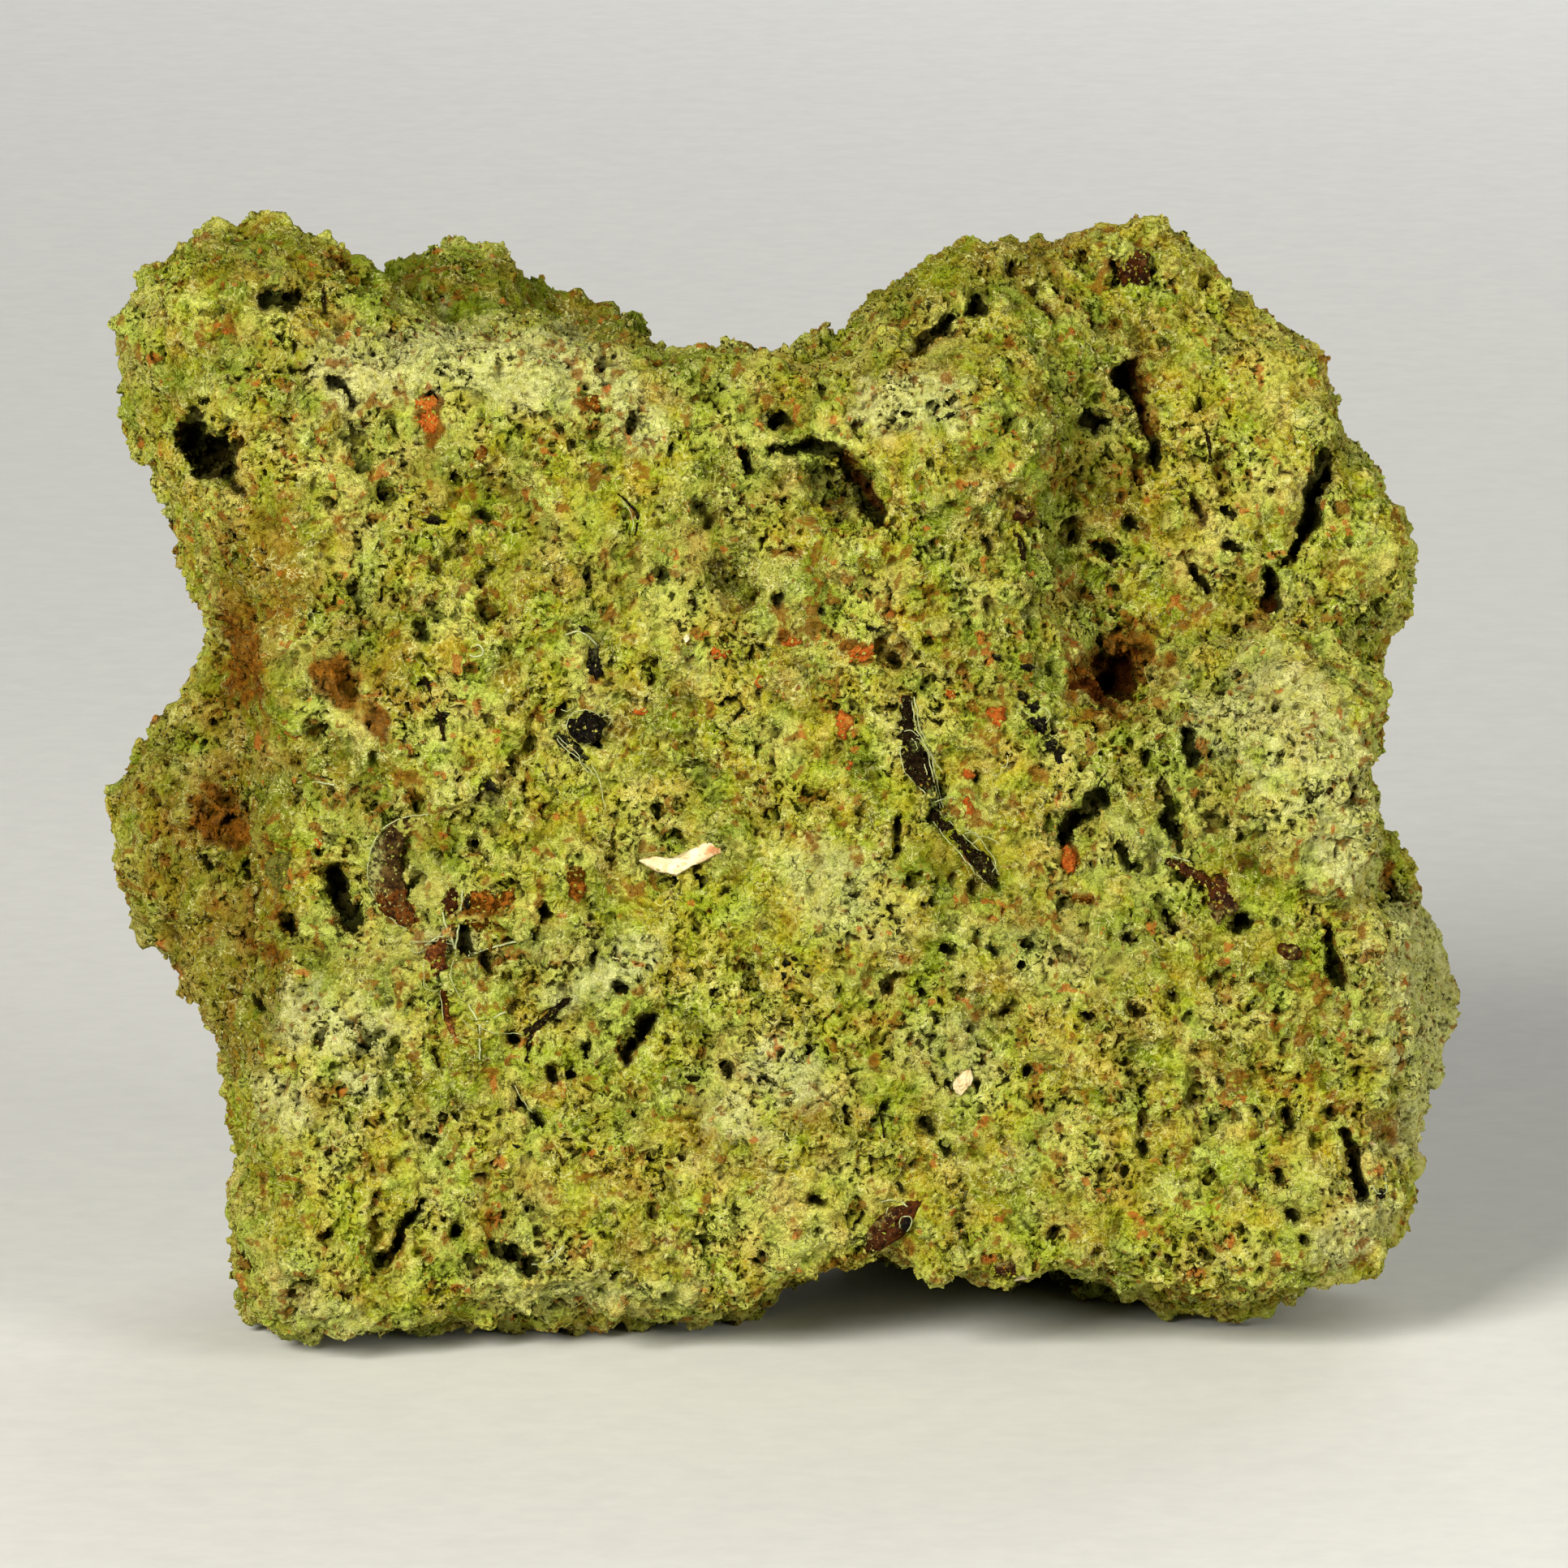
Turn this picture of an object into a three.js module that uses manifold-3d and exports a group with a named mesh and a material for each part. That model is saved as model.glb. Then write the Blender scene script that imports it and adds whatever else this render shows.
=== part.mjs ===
// Nontronite specimen: one porous lump of yellow-green clay mineral with a broken front
// face, and the rootlets, husks, grains and chips that are lodged in it.
// Millimetres, +Z up. The origin is under the middle of the lump, on the surface it rests on.
//
// The lump is laid out facing the viewer and then leaned back. In that layout x runs to the
// right, y up along the broken face from its lowest point, and z towards the viewer with the
// broken face near 0.

import * as THREE from "three";
import { ImprovedNoise } from "three/addons/math/ImprovedNoise.js";
import { mergeVertices } from "three/addons/utils/BufferGeometryUtils.js";
import Module from "manifold-3d";

const wasm = await Module();
wasm.setup();

// Driving sizes
const LEAN = THREE.MathUtils.degToRad(10); // how far the broken face leans back
const HEART = new THREE.Vector3(0, 22.5, -14); // a point deep inside, seen from every side
const SKIN_DETAIL = 14; // divisions of the skin between the corners of its first 20 faces
const SKIN_SPREAD = new THREE.Vector3(30, 26, 20); // evens out the skin over a long body
const BLOCK_BACK = -13; // depth of the block behind the broken face
const BLOCK_EDGE = 4.5; // rounding where that block ends
const FACE_EDGE = 2.4; // rounding where the broken face turns into the sides
const WALL_EDGE = 2.0; // rounding where the lobes meet the outline
const WALL_SPARE = 0.15; // the walls stand this far out, because their rounding takes it back
const LOBE_JOIN = 2.2; // how softly one lobe runs into the next
const WAIST_DEPTH = -11; // depth at which the lump is widest
const WAIST_CURVE = 0.006; // how fast it narrows in front of and behind that depth
const BUMPS = [
  { grain: 9, rise: 1.1 },
  { grain: 4.6, rise: 0.9 },
];
const BUMPS_START = -3; // depth at which the bumps begin to grow towards the rear
const BUMPS_GROWTH = 0.05; // how much they grow with each millimetre of depth
const SEAT_GAP = 0.3; // space between a lodged piece and its seat

// The outline of the whole lump as the viewer sees it, clockwise from the left
const OUTLINE = {
  topLeftLobe: [
    [-27.1, 40.1], [-26.9, 41.8], [-26.5, 43.1], [-26.0, 44.3], [-25.1, 45.4], [-24.1, 46.4],
    [-23.2, 47.1], [-21.1, 47.2], [-20.5, 46.7], [-19.3, 46.4], [-18.6, 45.9],
  ],
  rearTop: [
    [-16.7, 45.9], [-15.5, 45.8], [-14.9, 46.2], [-13.8, 46.1], [-13.1, 45.5], [-11.2, 45.1],
    [-9.4, 44.1], [-7.0, 44.2], [-6.0, 43.9],
  ],
  saddle: [
    [-4.9, 43.0], [-2.2, 42.5], [-0.7, 42.3], [0.6, 42.7], [1.9, 43.6], [2.8, 43.8], [3.8, 44.4],
  ],
  topRightLobes: [
    [5.4, 45.2], [6.1, 45.9], [7.1, 46.1], [9.6, 46.4], [10.4, 45.8], [11.7, 46.1], [13.8, 46.9],
    [15.8, 46.7], [17.6, 46.1], [19.5, 44.7], [21.2, 43.2], [22.6, 41.4], [23.0, 40.2], [22.9, 38.8],
  ],
  rightLobe: [
    [23.9, 38.5], [24.2, 37.2], [25.2, 36.4], [26.0, 35.1], [26.4, 33.8], [26.3, 32.4],
    [25.8, 30.9], [24.7, 28.4],
  ],
  rightWaist: [
    [24.7, 25.9], [24.9, 22.7], [25.3, 21.9], [25.2, 21.1], [25.7, 19.8],
  ],
  lowerRightLobes: [
    [26.3, 18.6], [26.7, 17.1], [27.7, 13.7], [27.8, 12.5], [27.7, 11.6], [27.0, 10.3], [26.2, 9.7],
    [26.7, 7.9], [26.5, 7.0], [25.2, 5.1], [23.1, 3.4],
  ],
  rightFoot: [
    [21.6, 2.9], [19.7, 2.3], [15.5, 1.9], [12.2, 2.0], [9.6, 2.8],
  ],
  archUnderFront: [
    [8.0, 3.2], [5.8, 3.4], [2.8, 3.7], [2.2, 2.5], [1.4, 2.2],
  ],
  lowerEdge: [
    [-2.6, 1.8], [-5.1, 1.9], [-7.0, 1.3], [-8.9, 1.9], [-13.2, 1.6], [-14.4, 1.6],
  ],
  leftFoot: [
    [-15.3, 1.1], [-16.1, 0.4], [-18.2, 0.0], [-20.7, 0.2], [-21.8, 1.4], [-22.4, 2.8], [-22.2, 3.4],
    [-22.8, 5.7], [-23.0, 6.4], [-22.2, 8.1], [-22.0, 8.9],
  ],
  leftSpur: [
    [-23.2, 10.3], [-23.4, 11.6], [-23.3, 13.5], [-25.2, 16.3], [-25.8, 17.7], [-27.1, 20.5],
    [-27.2, 21.7], [-27.8, 23.6], [-27.2, 24.1], [-25.7, 25.8], [-24.8, 26.1], [-23.8, 29.0],
  ],
  leftWaist: [
    [-23.3, 30.1], [-23.4, 31.7], [-24.3, 33.2], [-24.8, 34.9], [-26.0, 37.2], [-26.9, 39.1],
  ],
};

// The outline of the broken face alone, clockwise from the left foot
const FACE = [
  [-21.4, 1.4], [-22.0, 7.5], [-21.8, 16.0], [-21.6, 24.0], [-22.2, 29.0], [-21.2, 32.0],
  [-22.0, 35.5], [-20.8, 39.5], [-18.6, 42.0], [-13.6, 42.8], [-8.9, 42.5], [-4.5, 41.6],
  [-0.6, 41.3], [1.5, 41.8], [4.5, 42.4], [8.0, 41.6], [9.4, 39.0], [9.8, 35.0], [10.8, 31.0],
  [12.4, 27.8], [15.2, 27.0], [17.2, 28.6], [19.0, 30.6], [22.4, 30.4], [23.8, 28.0],
  [24.4, 23.0], [25.2, 19.0], [26.2, 14.5], [26.2, 9.5], [24.6, 6.4], [21.5, 4.4], [17.0, 3.8],
  [9.5, 3.9], [2.8, 3.9], [1.8, 2.6], [-5.5, 1.9], [-14.0, 1.8], [-16.0, 0.8],
];

// Rounded lobes that the lump is grown from: middle and half sizes
const LOBES = [
  { name: "top left lobe", at: [-21.5, 40.5, -8.5], half: [7.0, 7.2, 8.5] },
  { name: "shoulder under it", at: [-21.0, 35.0, -7.5], half: [6.5, 7.0, 7.0] },
  { name: "rear top", at: [-13.0, 38.0, -17.0], half: [9.5, 8.6, 9.0] },
  { name: "rear top, small", at: [-6.5, 38.3, -16.0], half: [5.5, 6.2, 7.0] },
  { name: "top right lobe, front", at: [7.6, 38.2, -9.5], half: [6.3, 8.6, 9.0] },
  { name: "top right lobe, middle", at: [14.5, 38.6, -13.5], half: [7.0, 8.8, 8.6] },
  { name: "top right lobe, outer", at: [19.0, 37.0, -14.5], half: [6.5, 8.2, 9.0] },
  { name: "knob", at: [23.4, 37.2, -12.5], half: [1.6, 1.9, 2.2] },
  { name: "right lobe", at: [21.5, 32.5, -14.0], half: [5.6, 6.4, 8.0] },
  { name: "pale bulge", at: [21.0, 24.4, -4.2], half: [4.4, 5.8, 6.0] },
  { name: "lower right lobe", at: [22.5, 13.5, -9.0], half: [5.9, 7.4, 8.6] },
  { name: "right corner", at: [20.6, 7.4, -8.0], half: [6.6, 6.0, 8.4] },
  { name: "right foot", at: [15.5, 7.4, -15.0], half: [9.4, 6.2, 9.0] },
  { name: "left foot", at: [-18.7, 5.8, -6.0], half: [4.8, 6.4, 7.4] },
  { name: "left spur, upper", at: [-21.0, 24.4, -14.5], half: [6.8, 6.8, 5.2] },
  { name: "left spur, lower", at: [-21.2, 17.4, -14.0], half: [7.0, 8.0, 5.4] },
  { name: "root of the spur", at: [-19.8, 12.0, -13.0], half: [4.8, 6.4, 6.4] },
  { name: "floor of the recess", at: [15.5, 32.0, -12.0], half: [8.4, 7.4, 5.4] },
  { name: "core", at: [0.0, 22.0, -15.0], half: [23.5, 18.5, 13.0] },
  { name: "rear, upper left", at: [-11.5, 32.0, -20.5], half: [10.2, 9.4, 10.0] },
  { name: "rear, upper right", at: [9.5, 31.5, -21.5], half: [11.0, 9.6, 10.2] },
  { name: "rear, middle", at: [-2.0, 21.5, -22.0], half: [11.0, 9.6, 11.0] },
  { name: "rear, lower left", at: [-12.5, 11.5, -19.0], half: [9.0, 9.4, 10.0] },
  { name: "rear, lower right", at: [11.5, 12.0, -20.5], half: [10.6, 9.8, 9.6] },
];

// Swells and hollows of the broken face: middle, half sizes and rise towards the viewer
const SWELLS = [
  { name: "way into the recess", at: [14.0, 29.6], half: [4.0, 3.4], rise: -2.4 },
  { name: "swell left of the recess", at: [6.4, 38.6], half: [3.4, 3.6], rise: 1.0 },
  { name: "brow under the saddle", at: [-1.5, 39.5], half: [5.0, 2.4], rise: -0.9 },
  { name: "pale upper ridge", at: [-15.5, 40.8], half: [5.4, 2.0], rise: 0.9 },
  { name: "turn towards the top left lobe", at: [-23.5, 40.5], half: [5.0, 6.0], rise: -3.0 },
  { name: "left cheek", at: [-18.8, 13.0], half: [3.4, 4.0], rise: 0.8 },
  { name: "heel of the left foot", at: [-18.8, 4.2], half: [3.4, 3.4], rise: 0.7 },
  { name: "hollow by the husk", at: [-17.9, 19.4], half: [3.0, 2.2], rise: -1.1 },
  { name: "low middle swell", at: [-1.8, 9.4], half: [5.6, 4.0], rise: 0.9 },
  { name: "ridge left of the middle", at: [-7.5, 16.6], half: [3.4, 1.4], rise: 0.6 },
  { name: "shallow hollow", at: [-2.1, 32.0], half: [2.2, 2.0], rise: -0.7 },
  { name: "slope to the caves", at: [13.2, 22.4], half: [4.0, 2.6], rise: -1.6 },
  { name: "lower right dip", at: [16.5, 9.6], half: [6.0, 4.0], rise: -1.3 },
  { name: "lower right swell", at: [12.4, 13.6], half: [4.0, 3.0], rise: 0.7 },
];

// Pits and cracks of the front: place, half sizes along and across, depth and turn in degrees
const FRONT_PITS = [
  { name: "side hole", at: [-23.6, 37.8], half: [1.2, 0.95], depth: 3.4, turn: 110 },
  { name: "shoulder pit", at: [-20.7, 43.8], half: [0.9, 0.45], depth: 1.4, turn: 15 },
  { name: "chip scar", at: [2.0, 36.2], half: [1.5, 1.2], depth: 1.2, turn: 30 },
  { name: "chip crack, upper", at: [0.8, 37.8], half: [1.3, 0.4], depth: 1.6, turn: 0 },
  { name: "chip crack, right", at: [3.2, 36.2], half: [1.8, 0.45], depth: 2.0, turn: -60 },
  { name: "hole in the lobe", at: [14.4, 40.5], half: [0.9, 0.5], depth: 2.6, turn: 80 },
  { name: "crack in the lobe", at: [15.3, 38.5], half: [1.6, 0.35], depth: 1.8, turn: 97 },
  { name: "ledge crack", at: [6.9, 43.0], half: [1.7, 0.4], depth: 1.8, turn: 30 },
  { name: "right crack", at: [21.6, 35.4], half: [2.1, 0.4], depth: 1.8, turn: 68 },
  { name: "rust hollow", at: [13.7, 28.4], half: [1.4, 1.1], depth: 2.0, turn: 10 },
  { name: "recess slit", at: [20.0, 31.8], half: [0.9, 0.45], depth: 1.6, turn: 80 },
  { name: "cave", at: [12.4, 22.8], half: [1.5, 0.6], depth: 1.8, turn: 40 },
  { name: "cave slit", at: [15.9, 22.2], half: [1.1, 0.35], depth: 1.5, turn: 95 },
  { name: "black hole", at: [18.8, 18.4], half: [0.6, 0.5], depth: 2.2, turn: 0 },
  { name: "side slit", at: [22.7, 16.4], half: [1.3, 0.4], depth: 1.6, turn: 100 },
  { name: "lower crack", at: [23.2, 8.2], half: [1.7, 0.4], depth: 1.8, turn: 105 },
  { name: "slant pit", at: [-6.1, 13.8], half: [1.1, 0.45], depth: 1.6, turn: 55 },
  { name: "low pit", at: [-15.2, 6.2], half: [1.2, 0.5], depth: 1.6, turn: 70 },
  { name: "low pit, right", at: [-11.1, 4.6], half: [0.8, 0.5], depth: 1.3, turn: 0 },
  { name: "hollow in the lower edge", at: [10.8, 3.7], half: [1.5, 0.6], depth: 1.8, turn: 5 },
];

// Pits of the sides, top and rear: direction from the heart, half sizes, depth and turn
const OTHER_PITS = [
  { name: "rear left", towards: [-0.5, 0.25, -1], half: [1.7, 1.0], depth: 2.2, turn: 30 },
  { name: "rear upper", towards: [0.25, 0.6, -1], half: [1.3, 0.8], depth: 1.8, turn: 100 },
  { name: "rear lower", towards: [0.1, -0.55, -1], half: [1.9, 0.7], depth: 1.9, turn: 10 },
  { name: "rear right", towards: [0.9, 0.1, -1], half: [1.2, 0.9], depth: 1.8, turn: 60 },
  { name: "right side", towards: [1, -0.2, -0.25], half: [1.3, 0.7], depth: 1.7, turn: 90 },
  { name: "left side", towards: [-1, -0.35, -0.5], half: [1.2, 0.8], depth: 1.7, turn: 40 },
  { name: "top", towards: [0.1, 1, -0.35], half: [1.6, 0.8], depth: 1.8, turn: 15 },
];

// Lodged pieces that show at the surface. A grain is a rounded bit with half sizes, a strand
// follows points on the surface, and a flake is an outline with a thickness.
const GRAINS = [
  { name: "cream_grain", at: [7.3, 11.9], half: [0.65, 0.36, 0.4], turn: 65, color: "#dccfa0" },
  { name: "black_grain", at: [-8.2, 26.4], half: [0.55, 0.5, 0.45], turn: 20, color: "#1d1a16" },
  { name: "seed_husk", at: [4.6, 6.2], half: [1.15, 0.6, 0.55], turn: 42, color: "#4a3a22" },
  { name: "brown_lump", at: [14.5, 45.3], half: [0.8, 0.55, 0.6], turn: 75, color: "#4e3a20" },
  { name: "brown_bit", at: [17.8, 19.4], half: [0.55, 0.38, 0.4], turn: 60, color: "#563822" },
  { name: "grey_green_grain", at: [-20.4, 20.4], half: [0.8, 0.75, 0.6], turn: 0, color: "#5c6630" },
  { name: "rust_grain", at: [-8.5, 19.9], half: [0.55, 0.4, 0.4], turn: 70, color: "#5e3420" },
];
const STRANDS = [
  {
    name: "root_upper", radius: 0.4, color: "#26231c",
    points: [[4.95, 27.2], [5.0, 26.3], [5.15, 25.3], [5.5, 24.4], [5.9, 23.8]],
  },
  {
    name: "root_lower", radius: 0.26, color: "#2a2720",
    points: [[6.4, 23.2], [6.9, 22.4], [7.6, 21.8], [8.1, 21.1], [8.5, 20.4]],
  },
  {
    name: "rust_rootlet", radius: 0.24, color: "#6b2f16",
    points: [[-14.3, 17.4], [-14.1, 16.6], [-13.9, 15.6], [-13.8, 14.8], [-13.5, 13.9]],
  },
  {
    name: "twig", radius: 0.16, color: "#35261a",
    points: [[-8.9, 15.2], [-9.6, 14.6], [-10.2, 14.0], [-10.4, 13.4], [-10.5, 12.8]],
  },
  {
    name: "husk_crescent", radius: 0.42, color: "#4a3630",
    points: [[-15.0, 22.0], [-16.0, 21.4], [-16.4, 20.4], [-16.2, 19.5], [-15.5, 18.9]],
  },
];
const FLAKES = [
  {
    name: "cream_chip", at: [-4.2, 21.1], thick: 0.5, bevel: 0.15, color: "#e4dcb4",
    outline: [
      [-1.7, -0.15], [-0.8, -0.65], [-0.1, -0.75], [0.4, -0.45], [1.0, -0.2], [1.75, 0.15],
      [1.7, 0.6], [1.2, 0.65], [0.5, 0.25], [-0.4, -0.05],
    ],
  },
];

const STONE_COLOR = "#93893a";

const noise = new ImprovedNoise();

// A smooth minimum: the union of two shapes given by their distances, blended over a width
function blend(a, b, width) {
  const overlap = Math.max(width - Math.abs(a - b), 0) / width;
  return Math.min(a, b) - (overlap * overlap * width) / 4;
}

// The common part of two shapes, with its edge rounded over a width
function common(a, b, width) {
  return -blend(-a, -b, width);
}

// Distance from a point to a closed outline, negative inside
function outlineDistance(x, y, outline) {
  let nearest = Infinity;
  let inside = false;
  for (let i = 0, j = outline.length - 1; i < outline.length; j = i, i += 1) {
    const [ax, ay] = outline[i];
    const [bx, by] = outline[j];
    const ex = bx - ax;
    const ey = by - ay;
    const along = THREE.MathUtils.clamp(((x - ax) * ex + (y - ay) * ey) / (ex * ex + ey * ey), 0, 1);
    nearest = Math.min(nearest, Math.hypot(x - ax - ex * along, y - ay - ey * along));
    if ((ay > y) !== (by > y) && x < ax + (ex * (y - ay)) / ey) {
      inside = !inside;
    }
  }
  return inside ? -nearest : nearest;
}

// Distance to an ellipsoid, close enough near its surface
function lobeDistance(p, { at, half }) {
  const x = (p.x - at[0]) / half[0];
  const y = (p.y - at[1]) / half[1];
  const z = (p.z - at[2]) / half[2];
  const inUnits = Math.hypot(x, y, z);
  const slope = Math.hypot(x / half[0], y / half[1], z / half[2]);
  return (inUnits * (inUnits - 1)) / Math.max(slope, 1e-6);
}

// Depth of the broken face at a place, from its swells and hollows
function faceDepth(x, y) {
  let depth = 0;
  for (const { at, half, rise } of SWELLS) {
    const reach = ((x - at[0]) / half[0]) ** 2 + ((y - at[1]) / half[1]) ** 2;
    depth += rise * Math.exp(-reach);
  }
  return depth;
}

// Low lumps all over the surface
function bumps(p) {
  let height = 0;
  for (const { grain, rise } of BUMPS) {
    height += rise * noise.noise(p.x / grain + 17.3, p.y / grain + 5.1, p.z / grain + 31.7);
  }
  return height * (1 + BUMPS_GROWTH * Math.max(BUMPS_START - p.z, 0));
}

const WHOLE_OUTLINE = Object.values(OUTLINE).flat();

// Distance to the surface of the lump, negative inside
function lumpDistance(p) {
  let body = common(outlineDistance(p.x, p.y, FACE), p.z - faceDepth(p.x, p.y), FACE_EDGE);
  body = common(body, BLOCK_BACK - p.z, BLOCK_EDGE);
  for (const lobe of LOBES) {
    body = blend(body, lobeDistance(p, lobe), LOBE_JOIN);
  }
  const narrowing = WAIST_CURVE * (p.z - WAIST_DEPTH) ** 2 - WALL_SPARE;
  body = common(body, outlineDistance(p.x, p.y, WHOLE_OUTLINE) + narrowing, WALL_EDGE);
  return body - bumps(p);
}

// The first place where a line from outside meets the surface
function surfacePoint(from, direction) {
  const p = from.clone();
  let step = 0;
  while (lumpDistance(p) > 0) {
    step = Math.max(0.3, 0.5 * lumpDistance(p));
    p.addScaledVector(direction, step);
    if (p.distanceTo(from) > 100) {
      throw new Error("a line meets no surface");
    }
  }
  for (let halving = 0; halving < 14; halving += 1) {
    step /= 2;
    p.addScaledVector(direction, lumpDistance(p) > 0 ? step : -step);
  }
  return p;
}

// A place on the front with the way its surface faces, taken over a small span
function frontSeat([x, y]) {
  return seatAt(surfacePoint(new THREE.Vector3(x, y, 12), new THREE.Vector3(0, 0, -1)));
}

// The same on any side, in a direction from the heart
function sideSeat(towards) {
  const outward = new THREE.Vector3(...towards).normalize();
  const start = HEART.clone().addScaledVector(outward, 45);
  return seatAt(surfacePoint(start, outward.negate()));
}

function seatAt(point) {
  const span = 0.8;
  const facing = new THREE.Vector3();
  for (const axis of ["x", "y", "z"]) {
    const before = point.clone();
    const after = point.clone();
    before[axis] -= span;
    after[axis] += span;
    facing[axis] = lumpDistance(after) - lumpDistance(before);
  }
  return { point, facing: facing.normalize() };
}

// A matrix that stands a shape on a seat: its z along the facing, its x turned in the surface
function placing({ point, facing }, turn, lift) {
  const angle = THREE.MathUtils.degToRad(turn);
  const along = new THREE.Vector3(Math.cos(angle), Math.sin(angle), 0);
  along.addScaledVector(facing, -along.dot(facing)).normalize();
  const across = new THREE.Vector3().crossVectors(facing, along);
  const matrix = new THREE.Matrix4().makeBasis(along, across, facing);
  return matrix.setPosition(point.clone().addScaledVector(facing, lift));
}

// A rounded, slightly uneven bit with its own half sizes
function bit(half, detail, unevenness, seed) {
  const geometry = new THREE.IcosahedronGeometry(1, detail);
  const position = geometry.attributes.position;
  const p = new THREE.Vector3();
  for (let i = 0; i < position.count; i += 1) {
    p.fromBufferAttribute(position, i);
    const swell = 1 + unevenness * noise.noise(p.x * 1.7 + seed, p.y * 1.7 + 3.1, p.z * 1.7 + 7.7);
    p.multiplyScalar(swell);
    position.setXYZ(i, p.x * half[0], p.y * half[1], p.z * half[2]);
  }
  return geometry;
}

// The skin: a ball wrapped onto the lump along lines that run to its heart
function skin() {
  const geometry = new THREE.IcosahedronGeometry(1, SKIN_DETAIL);
  const position = geometry.attributes.position;
  const outward = new THREE.Vector3();
  for (let i = 0; i < position.count; i += 1) {
    outward.fromBufferAttribute(position, i).multiply(SKIN_SPREAD).normalize();
    const start = HEART.clone().addScaledVector(outward, 45);
    const p = surfacePoint(start, outward.clone().negate());
    position.setXYZ(i, p.x, p.y, p.z);
  }
  return geometry;
}

// A closed solid from a geometry
function solid(geometry) {
  const bare = geometry.clone();
  bare.deleteAttribute("normal");
  bare.deleteAttribute("uv");
  const merged = mergeVertices(bare, 1e-5);
  return new wasm.Manifold(new wasm.Mesh({
    numProp: 3,
    vertProperties: new Float32Array(merged.attributes.position.array),
    triVerts: new Uint32Array(merged.index.array),
  }));
}

// A geometry with its own flat faces from a solid
function geometryOf(piece) {
  const mesh = piece.getMesh();
  const geometry = new THREE.BufferGeometry();
  geometry.setAttribute("position", new THREE.BufferAttribute(mesh.vertProperties, 3));
  geometry.setIndex(new THREE.BufferAttribute(mesh.triVerts, 1));
  geometry.computeVertexNormals();
  return geometry;
}

// Each lodged piece as its own geometry and the larger seat that it leaves in the lump
function grainPiece({ name, at, half, turn }, index) {
  const matrix = placing(frontSeat(at), turn, 0.1);
  const roomy = half.map((size) => size + SEAT_GAP);
  return {
    name,
    piece: bit(half, 1, 0.25, index * 5.3).applyMatrix4(matrix),
    seat: bit(roomy, 1, 0, 0).applyMatrix4(matrix),
  };
}

function strandPiece({ name, points, radius }) {
  const places = points.map((at) => frontSeat(at));
  const curve = new THREE.CatmullRomCurve3(places.map(({ point, facing }) => (
    point.clone().addScaledVector(facing, 0.3 * radius)
  )));
  const longer = new THREE.CatmullRomCurve3(curve.points.map((p, i, all) => {
    const inner = all[i === 0 ? 1 : all.length - 2];
    const isEnd = i === 0 || i === all.length - 1;
    return isEnd ? p.clone().addScaledVector(p.clone().sub(inner).normalize(), SEAT_GAP) : p.clone();
  }));
  return {
    name,
    piece: tube(curve, radius, 6),
    seat: tube(longer, radius + SEAT_GAP, 6),
  };
}

function tube(curve, radius, sides) {
  const section = new THREE.Shape();
  for (let i = 0; i < sides; i += 1) {
    const angle = (2 * Math.PI * i) / sides;
    const corner = [radius * Math.cos(angle), radius * Math.sin(angle)];
    if (i === 0) {
      section.moveTo(...corner);
    } else {
      section.lineTo(...corner);
    }
  }
  section.closePath();
  return new THREE.ExtrudeGeometry(section, { steps: 6, extrudePath: curve, bevelEnabled: false });
}

function flakePiece({ name, at, outline, thick, bevel }) {
  const shape = new THREE.Shape(outline.map(([x, y]) => new THREE.Vector2(x, y)));
  const matrix = placing(frontSeat(at), 0, -0.55 * thick);
  const flake = new THREE.ExtrudeGeometry(shape, {
    depth: thick, bevelThickness: bevel, bevelSize: bevel, bevelOffset: -bevel, bevelSegments: 1,
  });
  const room = new THREE.ExtrudeGeometry(shape, {
    depth: thick + 2 * SEAT_GAP, bevelThickness: bevel, bevelSize: SEAT_GAP, bevelSegments: 1,
  }).translate(0, 0, -SEAT_GAP);
  return { name, piece: flake.applyMatrix4(matrix), seat: room.applyMatrix4(matrix) };
}

// Every pit as a solid to be cut away
function pits() {
  const front = FRONT_PITS.map((pit) => ({ ...pit, seat: frontSeat(pit.at) }));
  const other = OTHER_PITS.map((pit) => ({ ...pit, seat: sideSeat(pit.towards) }));
  return [...front, ...other].map(({ seat, half, depth, turn }, i) => (
    solid(bit([half[0], half[1], depth], 1, 0.3, i * 3.7).applyMatrix4(placing(seat, turn, 0)))
  ));
}

// From the viewer's layout to the leaned one that stands on its feet
const leaned = new THREE.Matrix4().makeBasis(
  new THREE.Vector3(1, 0, 0),
  new THREE.Vector3(0, Math.sin(LEAN), Math.cos(LEAN)),
  new THREE.Vector3(0, -Math.cos(LEAN), Math.sin(LEAN)),
);

const lodged = [
  ...GRAINS.map(grainPiece),
  ...STRANDS.map(strandPiece),
  ...FLAKES.map(flakePiece),
];

let lump = solid(skin());
for (const hollow of [...pits(), ...lodged.map(({ seat }) => solid(seat))]) {
  lump = lump.subtract(hollow);
}

// The feet are flattened by the surface that the lump rests on
const ground = new THREE.BoxGeometry(90, 90, 20).translate(0, 15, -10);
const standing = solid(geometryOf(lump).applyMatrix4(leaned)).subtract(solid(ground));
const stone = geometryOf(standing);
stone.computeBoundingBox();
const middle = stone.boundingBox.getCenter(new THREE.Vector3());
const toOrigin = new THREE.Matrix4().makeTranslation(-middle.x, -middle.y, 0);
stone.applyMatrix4(toOrigin);

const specimen = new THREE.Group();

function addPiece(name, geometry, color) {
  const material = new THREE.MeshStandardMaterial({ color, roughness: 0.95, metalness: 0 });
  material.flatShading = true;
  const mesh = new THREE.Mesh(geometry, material);
  mesh.name = name;
  specimen.add(mesh);
}

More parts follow.
